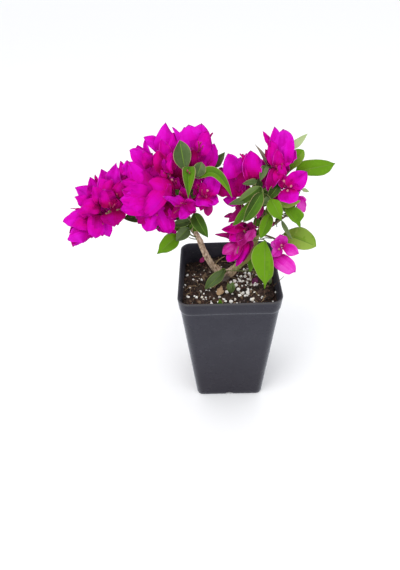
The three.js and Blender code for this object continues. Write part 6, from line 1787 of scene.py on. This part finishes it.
PINK_EDGED = {"Ld", "Lb", "La", "R9", "R14", "R6", "R17", "Lc"}
FAMILY_OF = {"low_bracts": "dusty", "right_low": "pink"}
SPARE = {"right_low", "low_bracts", "middle_small", "right_side", "right_wing", "right_wing_upright"}  # masses drawn almost wholly by named blades
# named blades painted in the darker shade family (painted shade), as are all the bk blades
SHADED = {"fl14", "ml12b", "ml15b", "ml16b", "ml16c", "ml17b", "ml17d", "ml17e", "ml17f", "ml20", "mb1d", "mb2b", "rt2", "rt2b", "ml9b", "ml14d", "ml14e", "ml20b", "ml21", "ml21b", "ml22", "ml22b", "ml22c"}
PAINT = {  # how far the painted crimson shade at the foot reaches, whether the rim is pale, how creased, how strongly the folds' painted light and shade show, and another family of tones
    "ml6b": dict(bloom_shade=1.8, edged=0.0, creases=0.10),
    **{k: dict(edged=0.0, bloom_shade=1.2) for k in ("ml11", "ml11c", "ml11d", "ml12b", "ml15b", "ml16c", "ml6c", "ml8", "fl12", "fl17", "fl18", "fl19", "fl20", "fl21", "mb1b", "mb2b", "rt1d", "rt1i")},
    "ml3": dict(bloom_shade=1.8, edged=0.0),
    "ml12": dict(bloom_shade=2.4, edged=0.0, creases=0.20, fold_shading=1.6, pleat=0.18),
    **{k: dict(bloom_shade=1.7, edged=0.0, creases=0.14, fold_shading=1.6, pleat=0.2) for k in ("ml11b", "ml11e", "ml12c", "ml13", "ml13b", "ml15", "ml16", "ml16b", "ml14c", "ml14f", "ml14g", "ml6a")},
    "rt1b": dict(bloom_shade=1.8, edged=0.0, creases=0.24, fold_shading=1.6),
    "mb1a": dict(bloom_shade=2.0, creases=0.22, fold_shading=1.6),
    "mb2": dict(bloom_shade=2.2, creases=0.18, fold_shading=1.4),
    **{k: dict(bloom_shade=2.8, edged=0.0, creases=0.22, fold_shading=1.5) for k in ("ml18a", "ml18b", "ml18c", "rf1", "rf2", "rf4", "fl14", "fl15", "ml17b", "ml17a")},
    **{k: dict(family="pink", bloom_shade=1.4) for k in ("rs1", "rs2", "rl4", "rl4b", "rl1", "rl2", "rl3", "rl1b")},
    **{k: dict(family="dusty", creases=0.25, bloom_shade=1.2) for k in ("lb1b", "lb2", "lb3", "lb3b", "lb3c", "lb5b", "lb6b", "lb6c", "lb7b", "lb8", "rb1", "rb2", "rb3", "ms2", "ms3", "ms4", "ml19", "ml19b")},
    **{k: dict(creases=0.3, fold_shading=1.6, bloom_shade=1.6) for k in ("lb1", "lb5", "lb6", "lb7")},
    "lb4": dict(bloom_shade=0.3, edged=0.0, family="dusty"),
}
LEAF_PAINT = {  # one plain colour, how much darker the left half is painted than the right (painted shade), the greyer tones of painted sky reflection, and a half turned up
    "R1": dict(plain=LEAF_PALE),
    "R4": dict(plain=LEAF_DRY),
    "RT": dict(plain=LEAF_PALE),
    "R22": dict(plain=LEAF_OLIVE),
    "R7": dict(turned=-1),
    "R3": dict(half_shade=-0.25),
    "R20": dict(half_shade=0.14),
    "R9": dict(half_shade=-0.7),
    "La": dict(half_shade=0.35, grey=True, tone=2.3),
    "Lc": dict(half_shade=0.3, grey=True, tone=1.7),
    "Lh": dict(grey=True, tone=1.3),
    "Le": dict(grey=True, tone=1.9),
    "R5": dict(grey=True, tone=1.7),
    "R6": dict(grey=True, tone=1.9),
    "R8": dict(grey=True, tone=2.0),
    "R12": dict(grey=True, tone=1.2),
    "P4": dict(grey=True, tone=0.0),
    "R19": dict(grey=True, tone=0.2),
    "R23": dict(grey=True, tone=2.0),
    "P1": dict(grey=True, tone=2.0),
    "P2": dict(grey=True, tone=1.6),
    "P2b": dict(grey=True, tone=1.5),
    "Lg": dict(grey=True, tone=2.2),
    "Lj": dict(grey=True, tone=3.4),
}



# ------------------------------------------------------------------ finishes
MATERIAL = {}


def make_materials():
    M = MATERIAL
    for i, c in enumerate(ALL_BRACT_STEPS):
        M[f"bract_{i}"] = principled(f"bract_{i}", c, rough=0.75, specular=0.02)
    M["bract_edge"] = principled("bract_edge", (0.68, 0.045, 0.55), rough=0.75, specular=0.02)
    M["bract_point"] = principled("bract_point", (0.40, 0.04, 0.30), rough=0.75, specular=0.02)
    for i, c in enumerate(LEAF_STEPS):
        M[f"leaf_{i}"] = principled(f"leaf_{i}", c, rough=0.5, specular=0.06)
    for i, c in enumerate(GREY_STEPS):
        M[f"leaf_grey_{i}"] = principled(f"leaf_grey_{i}", c, rough=0.5, specular=0.15)
    M["leaf_olive"] = principled("leaf_olive", (0.17, 0.15, 0.045), rough=0.6, specular=0.1)
    M["leaf_pale"] = principled("leaf_pale", (0.40, 0.50, 0.24), rough=0.55, specular=0.06)
    M["leaf_dry"] = principled("leaf_dry", (0.26, 0.21, 0.165), rough=0.7, specular=0.06)
    M["leaf_under"] = principled("leaf_under", (0.13, 0.20, 0.055), rough=0.6, specular=0.2)
    M["leaf_margin"] = principled("leaf_margin", (0.23, 0.31, 0.075), rough=0.5, specular=0.13)
    M["leaf_margin_pink"] = principled("leaf_margin_pink", (0.34, 0.27, 0.13), rough=0.5, specular=0.13)
    M["leaf_midrib"] = principled("leaf_midrib", (0.14, 0.245, 0.030), rough=0.5, specular=0.13)
    M["tube"] = principled("tube", (0.40, 0.008, 0.13), rough=0.55, specular=0.25)
    M["bud"] = principled("bud", (0.33, 0.020, 0.085), rough=0.55, specular=0.25)
    M["star"] = principled("star", (0.56, 0.17, 0.24), rough=0.6, specular=0.2)
    M["throat"] = principled("throat", (0.34, 0.24, 0.08), rough=0.6, specular=0.2)
    M["dry_tube"] = principled("dry_tube", (0.22, 0.15, 0.08), rough=0.8, specular=0.15)
    M["twig_green"] = principled("twig_green", (0.12, 0.155, 0.045), rough=0.55, specular=0.3)
    M["stalk"] = principled("stalk", (0.30, 0.020, 0.105), rough=0.6, specular=0.15)
    M["twig_brown"] = principled("twig_brown", (0.22, 0.15, 0.085), rough=0.7, specular=0.25)
    M["peel"] = principled("peel", (0.40, 0.30, 0.20), rough=0.8, specular=0.2)
    M["perlite"] = principled("perlite", (0.93, 0.92, 0.88), rough=0.85, specular=0.2)
    M["perlite_warm"] = principled("perlite_warm", (0.80, 0.75, 0.65), rough=0.85, specular=0.2)
    M["perlite_grey"] = principled("perlite_grey", (0.60, 0.57, 0.52), rough=0.85, specular=0.2)
    M["chip_dark"] = principled("chip_dark", (0.020, 0.013, 0.010), rough=0.8, specular=0.25)
    M["chip_brown"] = principled("chip_brown", (0.062, 0.036, 0.025), rough=0.85, specular=0.2)
    M["chip_red"] = principled("chip_red", (0.095, 0.048, 0.035), rough=0.85, specular=0.2)
    M["chip_tan"] = principled("chip_tan", (0.20, 0.135, 0.085), rough=0.85, specular=0.2)
    M["chip_straw"] = principled("chip_straw", (0.40, 0.29, 0.16), rough=0.7, specular=0.25)
    M["dry_purple"] = principled("dry_purple", (0.14, 0.022, 0.085), rough=0.7, specular=0.2)
    M["dry_pink"] = principled("dry_pink", (0.36, 0.02, 0.16), rough=0.7, specular=0.2)
    M["dry_brown"] = principled("dry_brown", (0.46, 0.31, 0.18), rough=0.8, specular=0.2)

    # moulded black nursery plastic: near-black, uneven gloss, fine grain, faint upright scuffs, lighter along the top
    # of the rim, and a painted reflection darkening it toward the foot
    m = M["pot"] = principled("pot_plastic", (0.016, 0.016, 0.021), rough=0.28, specular=0.15)
    nt, p = nodes_of(m)
    p.inputs["Sheen Weight"].default_value = 0.30
    p.inputs["Sheen Roughness"].default_value = 0.35
    p.inputs["Sheen Tint"].default_value = (0.75, 0.85, 1.0, 1.0)
    tc = nt.nodes.new("ShaderNodeTexCoord").outputs["Object"]
    cloud = noise(nt, tc, 38, 5, 0.6)
    grain = noise(nt, tc, 2600, 2, 0.5)
    stretch = nt.nodes.new("ShaderNodeMapping")
    stretch.inputs["Scale"].default_value = (260, 260, 9)
    nt.links.new(tc, stretch.inputs["Vector"])
    scuffs = noise(nt, stretch.outputs["Vector"], 1.0, 3, 0.6)
    base = ramp(nt, cloud.outputs["Fac"], [(0.30, (0.023, 0.022, 0.032)), (0.72, (0.031, 0.030, 0.042))])
    scuff_mask = ramp(nt, scuffs.outputs["Fac"], [(0.60, (0, 0, 0)), (0.78, (0.22, 0.22, 0.22))])
    colour = mix_colours(nt, scuff_mask.outputs["Color"], base.outputs["Color"], (0.055, 0.054, 0.064))
    xyz = nt.nodes.new("ShaderNodeSeparateXYZ")
    nt.links.new(tc, xyz.inputs[0])
    # lighter along the top of the rim
    rim = node(nt, "ShaderNodeMapRange")
    nt.links.new(xyz.outputs["Z"], rim.inputs["Value"])
    for key, value in (("From Min", 0.1655), ("From Max", 0.1682), ("To Min", 0.0), ("To Max", 0.55)):
        rim.inputs[key].default_value = value
    colour = mix_colours(nt, rim.outputs["Result"], colour, (0.115, 0.110, 0.105))
    # painted reflection: the lower wall darkened toward purple-black
    low = node(nt, "ShaderNodeMapRange")
    nt.links.new(xyz.outputs["Z"], low.inputs["Value"])
    for key, value in (("From Min", 0.030), ("From Max", 0.110), ("To Min", 0.92), ("To Max", 0.0)):
        low.inputs[key].default_value = value
    colour = mix_colours(nt, low.outputs["Result"], colour, (0.0050, 0.0015, 0.0085))
    nt.links.new(colour, p.inputs["Base Color"])
    gloss = ramp(nt, cloud.outputs["Fac"], [(0.25, (0.22, 0.22, 0.22)), (0.75, (0.32, 0.32, 0.32))])
    nt.links.new(gloss.outputs["Color"], p.inputs["Roughness"])
    b1 = node(nt, "ShaderNodeBump", Strength=0.10, Distance=0.0002)
    nt.links.new(grain.outputs["Fac"], b1.inputs["Height"])
    b2 = node(nt, "ShaderNodeBump", Strength=0.25, Distance=0.0012)
    nt.links.new(cloud.outputs["Fac"], b2.inputs["Height"])
    nt.links.new(b1.outputs["Normal"], b2.inputs["Normal"])
    nt.links.new(b2.outputs["Normal"], p.inputs["Normal"])

    # the inside of its walls: a sheenless copy of the plastic whose colour is set for walls out of the light (painted
    # light and shade), with splashed specks of dust
    m = M["pot_inside"] = principled("pot_inside", (0.010, 0.011, 0.015), rough=0.42, specular=0.20)
    nt, p = nodes_of(m)
    tc = nt.nodes.new("ShaderNodeTexCoord").outputs["Object"]
    specks = noise(nt, tc, 900, 3, 0.7)
    patches = noise(nt, tc, 45, 3, 0.6)
    spots = ramp(nt, specks.outputs["Fac"], [(0.63, (0, 0, 0)), (0.70, (0.55, 0.55, 0.55))])
    film = ramp(nt, patches.outputs["Fac"], [(0.35, (0.031, 0.031, 0.043)), (0.75, (0.056, 0.056, 0.074))])
    colour = mix_colours(nt, spots.outputs["Color"], film.outputs["Color"], (0.26, 0.25, 0.25))
    nt.links.new(colour, p.inputs["Base Color"])
    bump(nt, p, specks.outputs["Fac"], 0.2, 0.0003)

    # damp potting mix
    m = M["mix"] = principled("potting_mix", (0.03, 0.02, 0.015), rough=0.95, specular=0.25)
    nt, p = nodes_of(m)
    tc = nt.nodes.new("ShaderNodeTexCoord").outputs["Object"]
    big = noise(nt, tc, 120, 5, 0.65)
    fine = noise(nt, tc, 900, 6, 0.7)
    both = nt.nodes.new("ShaderNodeMath")
    both.operation = "ADD"
    nt.links.new(big.outputs["Fac"], both.inputs[0])
    nt.links.new(fine.outputs["Fac"], both.inputs[1])
    halved = nt.nodes.new("ShaderNodeMath")
    halved.operation = "MULTIPLY"
    nt.links.new(both.outputs[0], halved.inputs[0])
    halved.inputs[1].default_value = 0.5
    r = ramp(nt, halved.outputs[0], [(0.36, (0.011, 0.008, 0.007)), (0.49, (0.036, 0.023, 0.019)), (0.58, (0.082, 0.051, 0.040)), (0.68, (0.145, 0.098, 0.074))])
    nt.links.new(r.outputs["Color"], p.inputs["Base Color"])
    bump(nt, p, fine.outputs["Fac"], 0.8, 0.0012)

    # bark: tan on the old stems, grey at the foot, green where the right-hand stem is young
    for key, green in (("bark", False), ("young_bark", True)):
        m = M[key] = principled(key, (0.28, 0.20, 0.14), rough=0.78, specular=0.25)
        nt, p = nodes_of(m)
        tc = nt.nodes.new("ShaderNodeTexCoord").outputs["Object"]
        streak = nt.nodes.new("ShaderNodeMapping")
        streak.inputs["Scale"].default_value = (520, 520, 170)
        nt.links.new(tc, streak.inputs["Vector"])
        fibre = noise(nt, streak.outputs["Vector"], 1.0, 5, 0.65)
        patch = noise(nt, tc, 210, 4, 0.6)
        if green:
            a = ramp(nt, fibre.outputs["Fac"], [(0.32, (0.10, 0.11, 0.035)), (0.55, (0.19, 0.21, 0.07)), (0.75, (0.30, 0.27, 0.14))])
            b = ramp(nt, fibre.outputs["Fac"], [(0.32, (0.12, 0.075, 0.045)), (0.70, (0.30, 0.21, 0.135))])
            mask = ramp(nt, patch.outputs["Fac"], [(0.45, (0, 0, 0)), (0.60, (1, 1, 1))])
            colour = mix_colours(nt, mask.outputs["Color"], a.outputs["Color"], b.outputs["Color"])
        else:
            a = ramp(nt, fibre.outputs["Fac"], [(0.34, (0.15, 0.095, 0.065)), (0.48, (0.46, 0.32, 0.22)), (0.62, (0.74, 0.58, 0.44))])
            b = ramp(nt, fibre.outputs["Fac"], [(0.30, (0.085, 0.066, 0.058)), (0.70, (0.22, 0.18, 0.16))])
            xyz = nt.nodes.new("ShaderNodeSeparateXYZ")
            nt.links.new(tc, xyz.inputs[0])
            low = node(nt, "ShaderNodeMapRange")
            nt.links.new(xyz.outputs["Z"], low.inputs["Value"])
            for k2, v2 in (("From Min", 0.1575), ("From Max", 0.1635), ("To Min", 1.0), ("To Max", 0.0)):
                low.inputs[k2].default_value = v2
            colour = mix_colours(nt, low.outputs["Result"], a.outputs["Color"], b.outputs["Color"])
            g = ramp(nt, fibre.outputs["Fac"], [(0.30, (0.20, 0.22, 0.055)), (0.55, (0.33, 0.36, 0.11)), (0.75, (0.46, 0.44, 0.20))])
            right = node(nt, "ShaderNodeMapRange")
            wobble = nt.nodes.new("ShaderNodeMath")
            wobble.operation = "MULTIPLY_ADD"
            nt.links.new(patch.outputs["Fac"], wobble.inputs[0])
            wobble.inputs[1].default_value = 0.012
            nt.links.new(xyz.outputs["X"], wobble.inputs[2])
            nt.links.new(wobble.outputs[0], right.inputs["Value"])
            for k2, v2 in (("From Min", 0.008), ("From Max", 0.016), ("To Min", 0.0), ("To Max", 1.0)):
                right.inputs[k2].default_value = v2
            colour = mix_colours(nt, right.outputs["Result"], colour, g.outputs["Color"])
        nt.links.new(colour, p.inputs["Base Color"])
        bump(nt, p, fibre.outputs["Fac"], 0.55, 0.0005)



def main():
    make_materials()
    picture()
    make_pot()
    make_mix()
    make_limbs()
    grow()


main()
